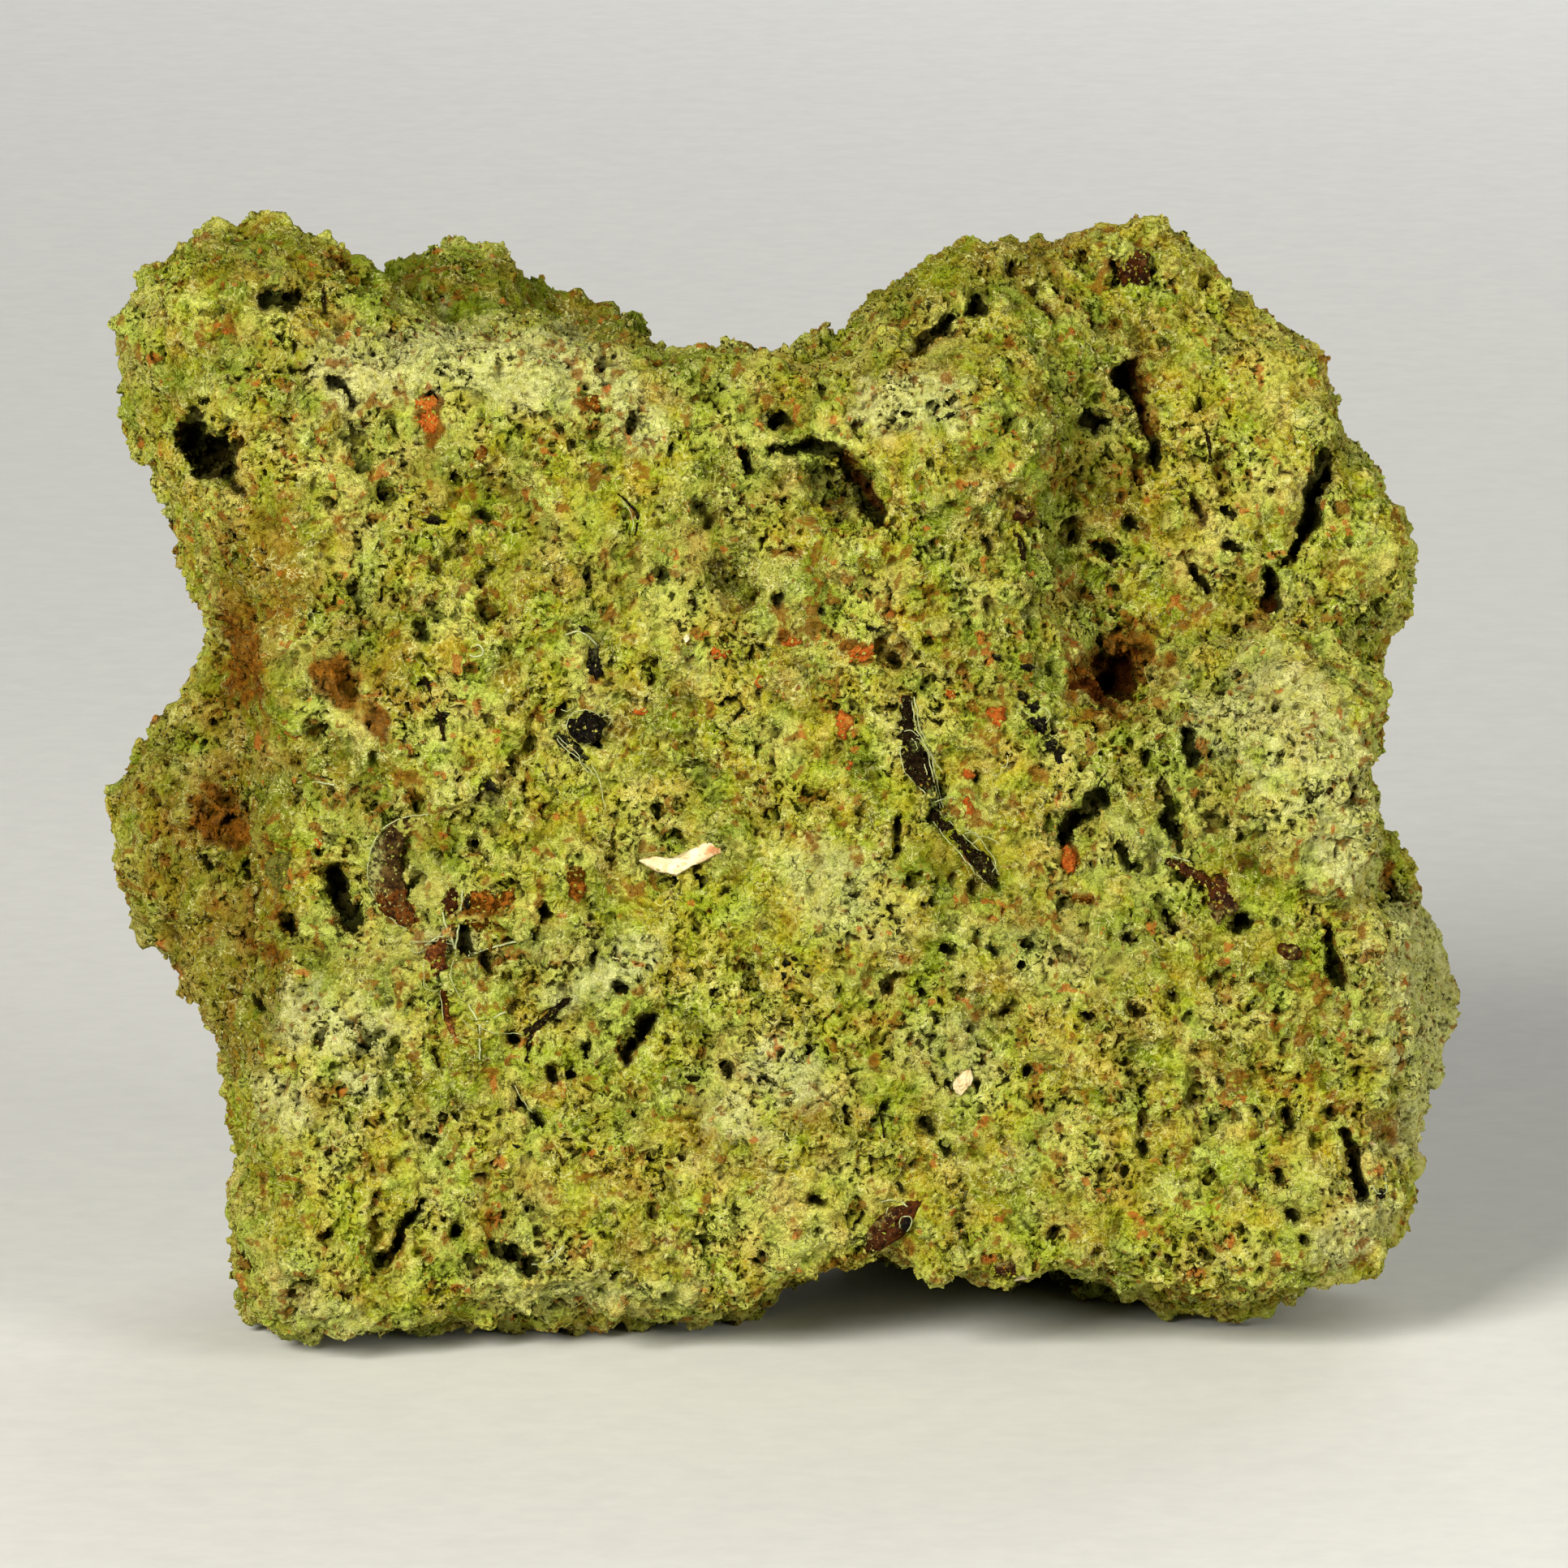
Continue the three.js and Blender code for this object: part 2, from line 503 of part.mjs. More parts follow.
addPiece("nontronite_mass", stone, STONE_COLOR);
const colors = Object.fromEntries([...GRAINS, ...STRANDS, ...FLAKES].map(({ name, color }) => [name, color]));
for (const { name, piece } of lodged) {
  addPiece(name, geometryOf(solid(piece)).applyMatrix4(leaned).applyMatrix4(toOrigin), colors[name]);
}

export default specimen;
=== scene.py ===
import math

import bmesh
import bpy
import numpy as np
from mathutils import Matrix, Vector, noise
from mathutils.bvhtree import BVHTree
from mathutils.geometry import delaunay_2d_cdt


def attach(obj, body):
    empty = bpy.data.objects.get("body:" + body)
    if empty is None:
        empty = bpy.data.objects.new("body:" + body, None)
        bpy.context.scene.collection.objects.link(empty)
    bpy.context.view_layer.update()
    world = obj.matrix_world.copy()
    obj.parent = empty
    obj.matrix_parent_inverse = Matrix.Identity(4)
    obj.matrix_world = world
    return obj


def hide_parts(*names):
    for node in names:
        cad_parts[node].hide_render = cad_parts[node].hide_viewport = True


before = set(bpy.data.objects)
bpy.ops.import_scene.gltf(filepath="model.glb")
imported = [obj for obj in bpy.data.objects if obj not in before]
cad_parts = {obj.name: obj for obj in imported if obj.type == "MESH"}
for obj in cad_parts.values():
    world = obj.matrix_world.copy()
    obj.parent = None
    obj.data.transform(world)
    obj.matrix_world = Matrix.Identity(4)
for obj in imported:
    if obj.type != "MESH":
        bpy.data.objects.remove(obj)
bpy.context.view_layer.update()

# The specimen is described in the layout in which the viewer faces it, in millimetres: u to the
# right, v up along the broken face from its lowest point, w towards the viewer.
MM = 0.001
PER_MM2 = 1 / (MM * MM)
LEAN = math.radians(10)
SHIFT_X = -0.31
SHIFT_Y = 18.47
UP = np.array([0.0, math.sin(LEAN), math.cos(LEAN)])
OUT = np.array([0.0, -math.cos(LEAN), math.sin(LEAN)])

# Sizes of the clay's surface, in millimetres
BODY_GRAIN = 0.45  # edge of the faces while the form is shaped
REAR_LIMIT = 18.4  # the rim of the pit at the back is worn down to here
CLOT_LARGE = 0.56
CLOT_SMALL = 0.31
CLOT_SINK = 0.56  # the clots stand on a surface that lies this far below the form's
LARGE_CLOT_GRAIN = 0.36  # edge of the faces while the large clots grow together
CLOT_GRAIN = 0.2  # the same for the small clots
SKIN_GRAIN = 0.15  # edge of the finished skin's faces
REAR_SHARE = 0.3  # share of the faces that the rear keeps
PORE_DEPTH = 0.9
CRINKLE = 0.45  # size of the wavy ridges that cover the clay
CRINKLE_HEIGHT = 0.12
GAP_DEPTH = 0.3
FINE_CRINKLE = 0.19
CRUMB_LARGE = 0.13
CRUMB_SMALL = 0.09
CLINGING_CRUMB = 0.07
# The clay's own grit is finer than 0.01, too fine to show, and is drawn as coarse as it needs to show
GRIT = 0.12

# Swells of the broken face: height, half width, half height and middle
BULGES = [
    (0.9, 3.0, 4.4, (21.6, 24.2)),
    (0.5, 1.7, 3.4, (25.0, 33.4)),
    (0.6, 2.7, 3.2, (9.0, 38.8)),
    (0.6, 2.6, 2.2, (17.0, 34.0)),
    (0.4, 2.6, 2.4, (-18.9, 13.8)),
    (0.5, 2.4, 2.6, (-0.6, 10.6)),
    (0.35, 3.2, 2.6, (1.4, 19.8)),
    (0.5, 3.2, 2.2, (22.4, 4.6)),
    (0.5, 2.2, 3.2, (24.4, 14.4)),
    (0.5, 2.0, 2.4, (-20.8, 28.4)),
]

# Folds between the swells: depth, half width and the line each one follows
FOLDS = [
    (0.9, 0.6, [(-22.5, 32.0), (-22.4, 28.2), (-22.7, 24.0), (-22.3, 20.0), (-22.9, 15.0), (-22.7, 10.0)]),
    (0.4, 0.7, [(3.6, 19.0), (3.9, 14.0), (3.3, 9.6), (2.6, 6.2)]),
    (0.7, 0.5, [(17.9, 28.4), (17.7, 26.0), (18.0, 22.6), (19.4, 19.8)]),
    (1.0, 0.5, [(21.4, 18.9), (23.2, 18.8), (25.2, 20.2)]),
    (0.6, 0.6, [(10.9, 40.4), (11.6, 36.6), (10.6, 33.2), (8.6, 34.6)]),
    (0.6, 0.6, [(-18.6, 43.2), (-14.0, 43.7), (-9.0, 43.1), (-4.0, 42.3)]),
    (0.6, 0.5, [(23.5, 38.6), (22.6, 36.4), (21.9, 34.0), (21.2, 31.4), (22.8, 29.4)]),
]

# Pits, caves and cracks of the broken face: half width, depth and the line each one follows
PITS = [
    (0.9, 3.2, [(-23.9, 38.1), (-23.5, 37.4)]),
    (0.35, 1.0, [(-22.9, 36.5), (-22.4, 36.0)]),
    (0.42, 1.4, [(-21.2, 43.7), (-20.2, 43.9)]),
    (0.28, 1.2, [(-18.5, 40.6), (-18.0, 40.1), (-17.7, 39.5)]),
    (0.45, 0.8, [(-16.4, 35.9), (-16.2, 35.8)]),
    (0.4, 0.9, [(-17.7, 31.8), (-17.5, 31.5)]),
    (0.36, 0.75, [(-18.0, 28.5), (-17.9, 27.8)]),
    (0.22, 1.0, [(-14.8, 30.6), (-14.7, 30.1)]),
    (0.3, 0.8, [(-14.3, 31.3), (-14.2, 31.1)]),
    (0.3, 0.9, [(-12.4, 35.2), (-12.2, 35.0)]),
    (0.22, 1.1, [(-8.0, 32.8), (-7.9, 32.0)]),
    (0.28, 1.0, [(-5.2, 32.7), (-5.1, 32.5)]),
    (0.5, 0.9, [(-5.1, 41.4), (-4.9, 41.2)]),
    (0.4, 1.0, [(-3.3, 35.1), (-3.1, 34.9)]),
    (0.9, 0.7, [(-2.2, 32.1), (-2.0, 31.9)]),
    (0.26, 1.0, [(-0.3, 31.6), (-0.3, 31.3)]),
    (0.28, 1.5, [(-0.7, 39.1), (0.2, 38.9)]),
    (0.26, 1.4, [(-1.6, 37.7), (-1.4, 36.9)]),
    (0.30, 1.9, [(-0.4, 37.7), (1.3, 37.8), (2.2, 37.5), (3.0, 36.6), (3.6, 35.6), (3.9, 34.7)]),
    (1.3, 0.9, [(1.4, 36.4), (2.4, 35.9)]),
    (0.2, 1.0, [(1.4, 40.8), (1.5, 39.9)]),
    (0.32, 1.6, [(5.5, 42.2), (6.6, 42.8), (8.1, 43.7)]),
    (0.26, 1.1, [(13.6, 45.6), (13.7, 44.9)]),
    (0.42, 2.4, [(14.2, 41.0), (14.3, 40.2)]),
    (0.24, 1.5, [(14.7, 39.6), (15.1, 38.5), (15.4, 37.0)]),
    (0.42, 1.2, [(12.5, 39.0), (12.9, 38.8)]),
    (0.32, 1.2, [(8.2, 33.9), (8.3, 33.6)]),
    (0.30, 1.3, [(14.2, 34.8), (14.5, 34.6)]),
    (0.34, 1.3, [(12.8, 33.8), (13.6, 33.6)]),
    (0.30, 1.3, [(16.7, 35.9), (17.3, 35.0)]),
    (0.30, 1.2, [(18.3, 33.9), (18.6, 33.6)]),
    (0.26, 1.3, [(16.8, 32.8), (17.3, 32.1)]),
    (0.34, 1.9, [(22.3, 37.5), (21.9, 36.3), (21.8, 35.0), (21.2, 34.2), (20.7, 33.3)]),
    (0.38, 1.5, [(20.0, 32.5), (20.1, 31.4)]),
    (0.28, 1.1, [(18.6, 30.5), (18.8, 30.2)]),
    (1.0, 1.7, [(13.0, 28.2), (14.0, 28.6)]),
    (0.26, 1.3, [(16.5, 26.1), (16.7, 25.0)]),
    (0.24, 1.1, [(14.9, 25.2), (14.9, 24.8)]),
    (0.34, 1.6, [(11.5, 21.8), (12.0, 22.7), (13.0, 23.5)]),
    (0.24, 1.3, [(15.7, 23.2), (15.9, 22.2), (16.1, 21.3)]),
    (0.26, 1.2, [(18.0, 23.1), (18.1, 22.5)]),
    (0.26, 1.2, [(18.7, 22.2), (18.8, 21.9)]),
    (0.28, 1.2, [(13.6, 21.5), (14.1, 20.8)]),
    (0.26, 1.0, [(16.1, 20.3), (16.3, 20.1)]),
    (0.42, 2.0, [(18.6, 18.4), (18.9, 18.4)]),
    (0.26, 1.1, [(14.0, 17.8), (14.3, 17.6)]),
    (0.26, 1.1, [(15.6, 18.4), (15.9, 18.1)]),
    (0.28, 1.4, [(22.4, 18.0), (22.5, 17.0), (22.8, 15.8)]),
    (0.26, 1.1, [(14.2, 14.9), (14.5, 14.7)]),
    (0.24, 1.0, [(15.8, 15.4), (15.9, 15.2)]),
    (0.24, 1.0, [(12.4, 14.7), (12.5, 14.5)]),
    (0.24, 1.1, [(4.2, 29.1), (4.6, 28.9)]),
    (0.24, 1.2, [(4.5, 22.4), (4.7, 21.4)]),
    (0.26, 1.0, [(8.5, 20.0), (8.7, 19.8)]),
    (0.26, 1.1, [(6.6, 17.3), (6.8, 17.1)]),
    (0.26, 1.1, [(8.5, 17.3), (8.7, 17.1)]),
    (0.50, 1.6, [(-18.5, 20.1), (-18.2, 19.3), (-17.7, 18.6)]),
    (0.30, 1.2, [(-20.4, 18.6), (-20.2, 18.1)]),
    (0.28, 1.4, [(-13.7, 19.5), (-13.6, 18.9)]),
    (0.24, 1.4, [(-13.1, 18.0), (-13.0, 17.2)]),
    (0.24, 1.3, [(-12.3, 17.1), (-12.1, 16.3)]),
    (0.26, 1.1, [(-9.9, 18.9), (-9.7, 18.7)]),
    (0.26, 1.3, [(-7.7, 17.7), (-7.6, 16.9)]),
    (0.24, 1.1, [(-6.8, 15.9), (-6.6, 15.6)]),
    (0.34, 1.5, [(-5.7, 14.5), (-6.2, 13.6), (-6.6, 12.9)]),
    (0.24, 1.1, [(-8.2, 13.2), (-8.0, 13.0)]),
    (0.24, 1.2, [(-9.6, 12.4), (-9.5, 11.9)]),
    (0.24, 1.3, [(-11.1, 11.6), (-10.6, 10.8), (-10.0, 10.1)]),
    (0.26, 1.0, [(-11.3, 13.8), (-11.2, 13.6)]),
    (0.24, 1.1, [(-2.4, 12.5), (-2.3, 12.2)]),
    (0.26, 1.0, [(-5.3, 8.8), (-5.1, 8.6)]),
    (0.26, 1.0, [(-5.4, 6.7), (-5.3, 6.5)]),
    (0.26, 1.3, [(-21.7, 15.4), (-21.6, 14.8)]),
    (0.24, 1.5, [(-14.9, 6.9), (-15.4, 6.0), (-16.2, 4.4)]),
    (0.26, 1.0, [(-13.5, 5.9), (-13.3, 5.8)]),
    (0.36, 1.3, [(-11.7, 4.9), (-11.1, 4.7), (-10.4, 4.2)]),
    (0.28, 1.1, [(1.2, 7.1), (1.4, 6.9)]),
    (0.28, 1.1, [(4.6, 7.7), (4.8, 7.4)]),
    (0.24, 1.0, [(3.9, 10.8), (4.0, 10.6)]),
    (0.24, 1.0, [(5.8, 10.2), (5.9, 10.0)]),
    (0.24, 1.0, [(6.5, 9.2), (6.7, 9.0)]),
    (0.24, 1.0, [(9.9, 12.4), (10.0, 12.2)]),
    (0.24, 1.0, [(14.6, 9.2), (14.8, 9.0)]),
    (0.28, 1.1, [(17.8, 12.0), (17.9, 11.7)]),
    (0.30, 1.3, [(20.6, 10.7), (20.8, 10.1)]),
    (0.28, 1.1, [(22.4, 10.7), (22.5, 10.5)]),
    (0.26, 1.7, [(22.9, 9.7), (23.4, 8.8), (23.6, 7.2)]),
    (0.26, 1.1, [(20.2, 8.1), (20.3, 7.9)]),
    (0.26, 1.1, [(20.8, 6.5), (20.9, 6.3)]),
    (0.26, 1.0, [(21.2, 5.6), (21.4, 5.4)]),
    (0.26, 1.0, [(17.1, 4.8), (17.3, 4.6)]),
    (0.36, 1.6, [(9.4, 3.2), (10.6, 3.4), (12.0, 3.6)]),
]

CAVE_HALF = 0.4  # pits from this half width on are lined with clots of clay

# Stains of the broken face: strength, half width and the line each one follows
RUST = [
    (1.0, 0.55, [(-14.5, 39.3), (-14.3, 38.6)]),
    (0.9, 0.30, [(-12.5, 37.6), (-12.3, 37.4)]),
    (1.0, 0.35, [(-7.9, 39.6), (-7.9, 39.5)]),
    (1.0, 0.75, [(-18.6, 28.6), (-17.9, 27.8)]),
    (1.0, 0.65, [(-17.0, 27.2), (-16.5, 26.5)]),
    (0.9, 0.8, [(-22.6, 30.6), (-22.3, 29.4), (-22.2, 28.0)]),
    (1.0, 0.95, [(-23.3, 22.8), (-23.0, 22.2)]),
    (1.0, 0.38, [(2.8, 29.7), (3.2, 29.3)]),
    (1.0, 0.32, [(2.3, 26.6), (2.4, 26.4)]),
    (0.9, 0.26, [(0.0, 30.0), (0.1, 29.9)]),
    (0.9, 0.22, [(8.5, 27.0), (8.5, 26.8)]),
    (1.0, 0.24, [(9.1, 42.3), (9.2, 42.2)]),
    (0.9, 0.24, [(21.3, 29.8), (21.4, 29.7)]),
    (1.0, 0.30, [(11.6, 21.2), (11.7, 21.0)]),
    (0.9, 0.22, [(12.0, 19.4), (12.5, 19.3)]),
    (0.8, 0.40, [(-12.6, 18.9), (-11.4, 18.9)]),
    (0.8, 0.45, [(-21.2, 17.1), (-20.9, 16.9)]),
    (0.9, 0.24, [(-12.0, 6.5), (-12.0, 6.1)]),
    (0.55, 0.75, [(-3.9, 10.4), (-3.0, 9.4), (-2.3, 8.9)]),
    (0.9, 0.2, [(3.7, 12.8), (3.7, 12.6)]),
    (0.7, 0.4, [(3.4, 4.8), (1.9, 4.1)]),
    (0.8, 0.3, [(5.0, 5.3), (5.2, 5.1)]),
    (0.8, 0.4, [(24.4, 10.0), (24.9, 9.7)]),
    (0.9, 0.3, [(25.0, 20.7), (25.1, 19.9)]),
    (0.6, 0.6, [(9.4, 36.0), (9.8, 35.3)]),
    (0.95, 1.2, [(12.8, 28.0), (14.2, 29.4)]),
    (0.7, 0.5, [(20.0, 31.2), (19.6, 30.8)]),
    (0.7, 0.25, [(2.6, 37.4), (3.5, 36.3), (4.0, 35.2)]),
    (0.7, 0.5, [(14.7, 41.3), (15.2, 38.7)]),
    (0.6, 0.6, [(14.0, 30.6), (14.6, 30.9)]),
    (0.45, 0.7, [(-19.6, 42.4), (-18.0, 41.6)]),
]
# Pale clay dust; the mark on the right edge is painted light
DUST_AND_LIGHT = [
    (0.9, 1.4, [(-17.6, 40.9), (-15.2, 41.3), (-12.6, 41.4), (-9.6, 41.2)]),
    (0.7, 0.9, [(-7.4, 40.6), (-5.6, 38.6)]),
    (0.8, 1.1, [(4.2, 39.6), (6.2, 39.4)]),
    (0.9, 1.1, [(-19.4, 14.4), (-17.2, 14.0)]),
    (0.8, 0.9, [(-20.8, 11.2), (-20.2, 10.8)]),
    (0.9, 0.45, [(-18.0, 12.2), (-17.0, 11.8)]),
    (0.85, 0.9, [(-0.6, 12.4), (0.8, 11.9)]),
    (0.85, 0.7, [(-2.4, 10.4), (-1.2, 9.8)]),
    (0.6, 1.3, [(1.8, 20.6), (3.6, 18.8)]),
    (0.8, 0.55, [(-9.2, 15.4), (-7.2, 16.2), (-5.6, 17.0)]),
    (0.6, 0.35, [(-14.9, 17.6), (-12.8, 17.6)]),
    (0.75, 1.9, [(19.4, 27.2), (21.6, 26.2), (22.8, 22.6)]),
    (1.0, 0.8, [(22.4, 22.2), (23.4, 20.6)]),
    (0.8, 0.9, [(22.4, 5.2), (24.6, 6.4)]),
    # Painted light: this mark lightens the right edge, which turns away from the key light
    (0.9, 1.4, [(26.2, 17.8), (26.8, 13.4), (26.2, 10.0)]),
    (0.4, 1.3, [(10.2, 17.4), (11.2, 17.0)]),
    (0.4, 1.3, [(6.2, 13.4), (7.2, 13.0)]),
    (0.35, 1.3, [(-9.6, 17.4), (-8.8, 17.0)]),
    (0.35, 1.3, [(14.2, 21.4), (15.2, 21.0)]),
    (0.5, 0.7, [(-12.0, 3.0), (-4.0, 3.0)]),
    (0.5, 0.8, [(-20.0, 3.0), (-17.5, 1.2)]),
]
# Clay browned by iron
TAN = [
    (0.8, 2.0, [(-22.0, 36.0), (-21.6, 33.4), (-21.4, 30.8)]),
    (0.9, 2.2, [(-24.4, 25.6), (-24.6, 20.6), (-23.4, 15.0)]),
    (0.6, 1.5, [(-19.6, 42.2), (-17.8, 40.6)]),
    (0.6, 1.4, [(9.6, 46.2), (14.8, 46.2)]),
    (0.55, 2.2, [(17.6, 43.2), (20.6, 40.2)]),
    (0.7, 1.6, [(13.8, 36.2), (17.0, 33.2)]),
    (0.5, 2.0, [(-3.0, 9.8), (4.6, 7.6)]),
    (0.6, 1.7, [(13.0, 13.6), (15.8, 12.2)]),
    (0.6, 1.3, [(20.2, 27.6), (21.0, 25.6)]),
    (0.5, 1.6, [(-8.0, 6.8), (-5.6, 5.8)]),
    (0.45, 1.8, [(5.6, 41.0), (8.0, 42.6)]),
    (0.5, 1.5, [(-3.0, 29.4), (1.0, 28.0)]),
    (0.6, 1.2, [(23.4, 6.2), (25.0, 10.0)]),
]
# Painted shade: the clay is darkened where its surface falls into shadow, along the left spur and the rear
# top above all
PAINTED_SHADE = [
    (1.0, 1.7, [(-21.4, 33.6), (-21.8, 29.0), (-22.4, 25.0), (-22.4, 19.0), (-22.0, 14.0)]),
    (0.7, 1.8, [(-25.4, 25.0), (-25.6, 20.0), (-24.4, 15.0)]),
    (1.0, 1.2, [(-19.4, 45.2), (-12.6, 44.9), (-6.4, 43.6)]),
    (0.6, 1.6, [(-21.8, 41.4), (-20.4, 40.6)]),
    (0.8, 1.4, [(4.8, 45.0), (10.2, 45.6)]),
    (0.5, 1.3, [(14.2, 17.4), (15.4, 17.0)]),
    (0.7, 1.3, [(6.2, 21.4), (7.4, 20.2)]),
    (0.8, 1.5, [(-18.0, 29.4), (-16.8, 28.8)]),
    (0.8, 1.4, [(-14.0, 37.4), (-12.8, 36.8)]),
    (0.7, 1.4, [(-17.6, 23.6), (-14.6, 21.4)]),
    (0.7, 1.6, [(10.8, 38.0), (14.6, 36.4)]),
    (0.55, 1.3, [(18.2, 21.4), (19.2, 21.0)]),
    (0.45, 1.6, [(-6.2, 41.5), (0.6, 40.8), (7.2, 41.4)]),
    (0.5, 1.7, [(-10.2, 33.2), (-4.8, 33.4)]),
    (0.45, 1.4, [(-17.4, 33.4), (-16.6, 33.0)]),
    (1.0, 1.2, [(-22.6, 45.2), (-20.2, 46.0)]),
    (0.4, 1.5, [(-21.4, 9.4), (-21.2, 5.0)]),
    (0.4, 1.3, [(18.4, 29.4), (19.0, 28.6)]),
    (0.4, 1.3, [(14.4, 33.2), (15.0, 33.0)]),
]
# Greener clay, which painted shade also darkens, in the recess at the upper right above all
GREEN_AND_SHADE = [
    (0.8, 2.4, [(11.6, 40.6), (12.6, 36.4), (11.6, 32.0)]),
    (0.7, 2.6, [(10.6, 28.6), (14.6, 25.6), (16.0, 19.0)]),
    (0.9, 1.3, [(-18.4, 17.6), (-16.8, 16.0)]),
    (0.6, 1.6, [(-2.2, 32.6), (0.6, 31.0)]),
    (0.6, 1.4, [(-9.8, 5.4), (-12.8, 5.6)]),
    (0.6, 1.6, [(20.8, 16.4), (23.0, 13.6)]),
    (0.7, 1.6, [(-16.0, 45.0), (-8.6, 43.6), (-3.2, 42.2)]),
    (0.5, 1.6, [(-6.0, 14.6), (-8.4, 11.6)]),
    (0.5, 1.5, [(17.2, 31.4), (18.8, 28.8)]),
    (0.5, 1.8, [(3.8, 14.0), (4.6, 10.0)]),
]


def linear(code):
    """A colour for a shader from its sRGB hex code."""
    parts = [int(code[i:i + 2], 16) / 255 for i in (1, 3, 5)]
    return [c / 12.92 if c <= 0.04045 else ((c + 0.055) / 1.055) ** 2.4 for c in parts] + [1.0]


def add(tree, kind, inputs=None, **settings):
    """Adds a node, sets its options, and fills its inputs or links them. A node that is given for
    an input stands for its first output."""
    made = tree.nodes.new(kind)
    for name, value in settings.items():
        setattr(made, name, value)
    for key, value in (inputs or {}).items():
        if isinstance(value, bpy.types.Node):
            value = value.outputs[0]
        if isinstance(value, bpy.types.NodeSocket):
            tree.links.new(value, made.inputs[key])
        else:
            made.inputs[key].default_value = value
    return made


def place(u, v, w=0.0):
    """A point of the viewer's layout in the frame, in metres."""
    point = np.array([u - SHIFT_X, -SHIFT_Y, 0.0]) + v * UP + w * OUT
    return Vector(point * MM)


def layout(points):
    """Points of the frame, in metres, as u, v and w of the viewer's layout."""
    p = points / MM + np.array([SHIFT_X, SHIFT_Y, 0.0])
    return p[..., 0], p @ UP, p @ OUT


def away_from_line(u, v, line):
    """Distance in the u, v plane from every point to a line of several points."""
    nearest = np.full(len(u), 1e9)
    for (au, av), (bu, bv) in zip(line, line[1:]):
        eu, ev = bu - au, bv - av
        along = np.clip(((u - au) * eu + (v - av) * ev) / (eu * eu + ev * ev), 0, 1)
        nearest = np.minimum(nearest, np.hypot(u - au - eu * along, v - av - ev * along))
    return nearest


def per_vertex(mesh, field):
    """Three numbers for each vertex of a mesh as an array."""
    flat = np.empty(3 * len(mesh.vertices), np.float32)
    mesh.vertices.foreach_get(field, flat)
    return flat.reshape(-1, 3).astype(float)


def positions(mesh):
    """The vertex positions of a mesh."""
    return per_vertex(mesh, "co")


def normals(mesh):
    """The vertex normals of a mesh."""
    return per_vertex(mesh, "normal")


def move_to(mesh, points):
    """Gives a mesh its vertex positions from an array."""
    mesh.vertices.foreach_set("co", points.astype(np.float32).ravel())
    mesh.update()


def push_out(mesh, heights):
    """Moves the vertices of a mesh along their normals, by heights in millimetres."""
    move_to(mesh, positions(mesh) + normals(mesh) * heights[:, None] * MM)


def store(mesh, name, values):
    """Keeps one number for each vertex under a name that materials and node trees can read."""
    layer = mesh.attributes.get(name) or mesh.attributes.new(name, "FLOAT", "POINT")
    layer.data.foreach_set("value", values.astype(np.float32))


def ripple(points, size, seed):
    """Soft noise of about -1 to 1 at each point, with features of a size in millimetres."""
    shift = Vector((seed * 7.3, seed * 3.1, seed * 5.7))
    scale = 1 / (size * MM)
    return np.array([noise.noise(Vector(p) * scale + shift) for p in points]) * 1.6


def piece_from(name, mesh):
    """A new piece at the origin of the frame."""
    made = bpy.data.objects.new(name, mesh)
    bpy.context.scene.collection.objects.link(made)
    return made


def plain_mesh(rough, name):
    """The mesh of a bmesh, which is let go."""
    mesh = bpy.data.meshes.new(name)
    rough.to_mesh(mesh)
    rough.free()
    return mesh


def evaluated_mesh(holder):
    """The plain mesh of an object as its modifiers leave it."""
    graph = bpy.context.evaluated_depsgraph_get()
    return bpy.data.meshes.new_from_object(holder.evaluated_get(graph), depsgraph=graph)


def with_modifier(mesh, kind, **settings):
    """A mesh changed by one modifier, which doesn't stay."""
    holder = piece_from("holder", mesh)
    modifier = holder.modifiers.new("step", kind)
    for name, value in settings.items():
        setattr(modifier, name, value)
    changed = evaluated_mesh(holder)
    bpy.data.objects.remove(holder)
    return changed


def remeshed(mesh, edge):
    """The skin around a mesh, in even faces with an edge in millimetres."""
    return with_modifier(mesh, "REMESH", mode="VOXEL", voxel_size=edge * MM)


def smoothed(mesh, rounds):
    """The mesh without its fine relief, which takes some rounds."""
    return with_modifier(mesh, "SMOOTH", factor=0.5, iterations=rounds)


def smooth_shading(mesh):
    """Shades a mesh without edges between its faces."""
    mesh.polygons.foreach_set("use_smooth", np.ones(len(mesh.polygons), bool))


# Patterns, for the trees that make the surface and for the materials

def patches(tree, where, size, seed, detail):
    """Noise with patches of a size in millimetres, spread to the whole range from 0 to 1."""
    shift = (seed * 13.7, seed * 5.9, seed * 9.1)
    moved = add(tree, "ShaderNodeVectorMath", {0: where, 1: shift}, operation="ADD")
    cloud = add(tree, "ShaderNodeTexNoise", {
        "Vector": moved, "Scale": 1 / size, "Detail": detail, "Roughness": 0.6,
    })
    return add(tree, "ShaderNodeMapRange", {"Value": cloud, "From Min": 0.3, "From Max": 0.7})


def crests(tree, where, size, seed):
    """Wavy ridges like those of crumpled felt, of a size in millimetres: 1 on a crest, 0 in a gap."""
    shift = (seed * 11.3, seed * 4.7, seed * 8.9)
    moved = add(tree, "ShaderNodeVectorMath", {0: where, 1: shift}, operation="ADD")
    web = add(tree, "ShaderNodeTexNoise", {
        "Vector": moved, "Scale": 1 / size, "Detail": 2.0, "Roughness": 0.55, "Distortion": 0.7,
    })
    off = add(tree, "ShaderNodeMath", {0: web, 1: 0.5}, operation="SUBTRACT")
    away = add(tree, "ShaderNodeMath", {0: off}, operation="ABSOLUTE")
    return add(tree, "ShaderNodeMapRange", {"Value": away, "From Max": 0.14, "To Min": 1.0, "To Max": 0.0})


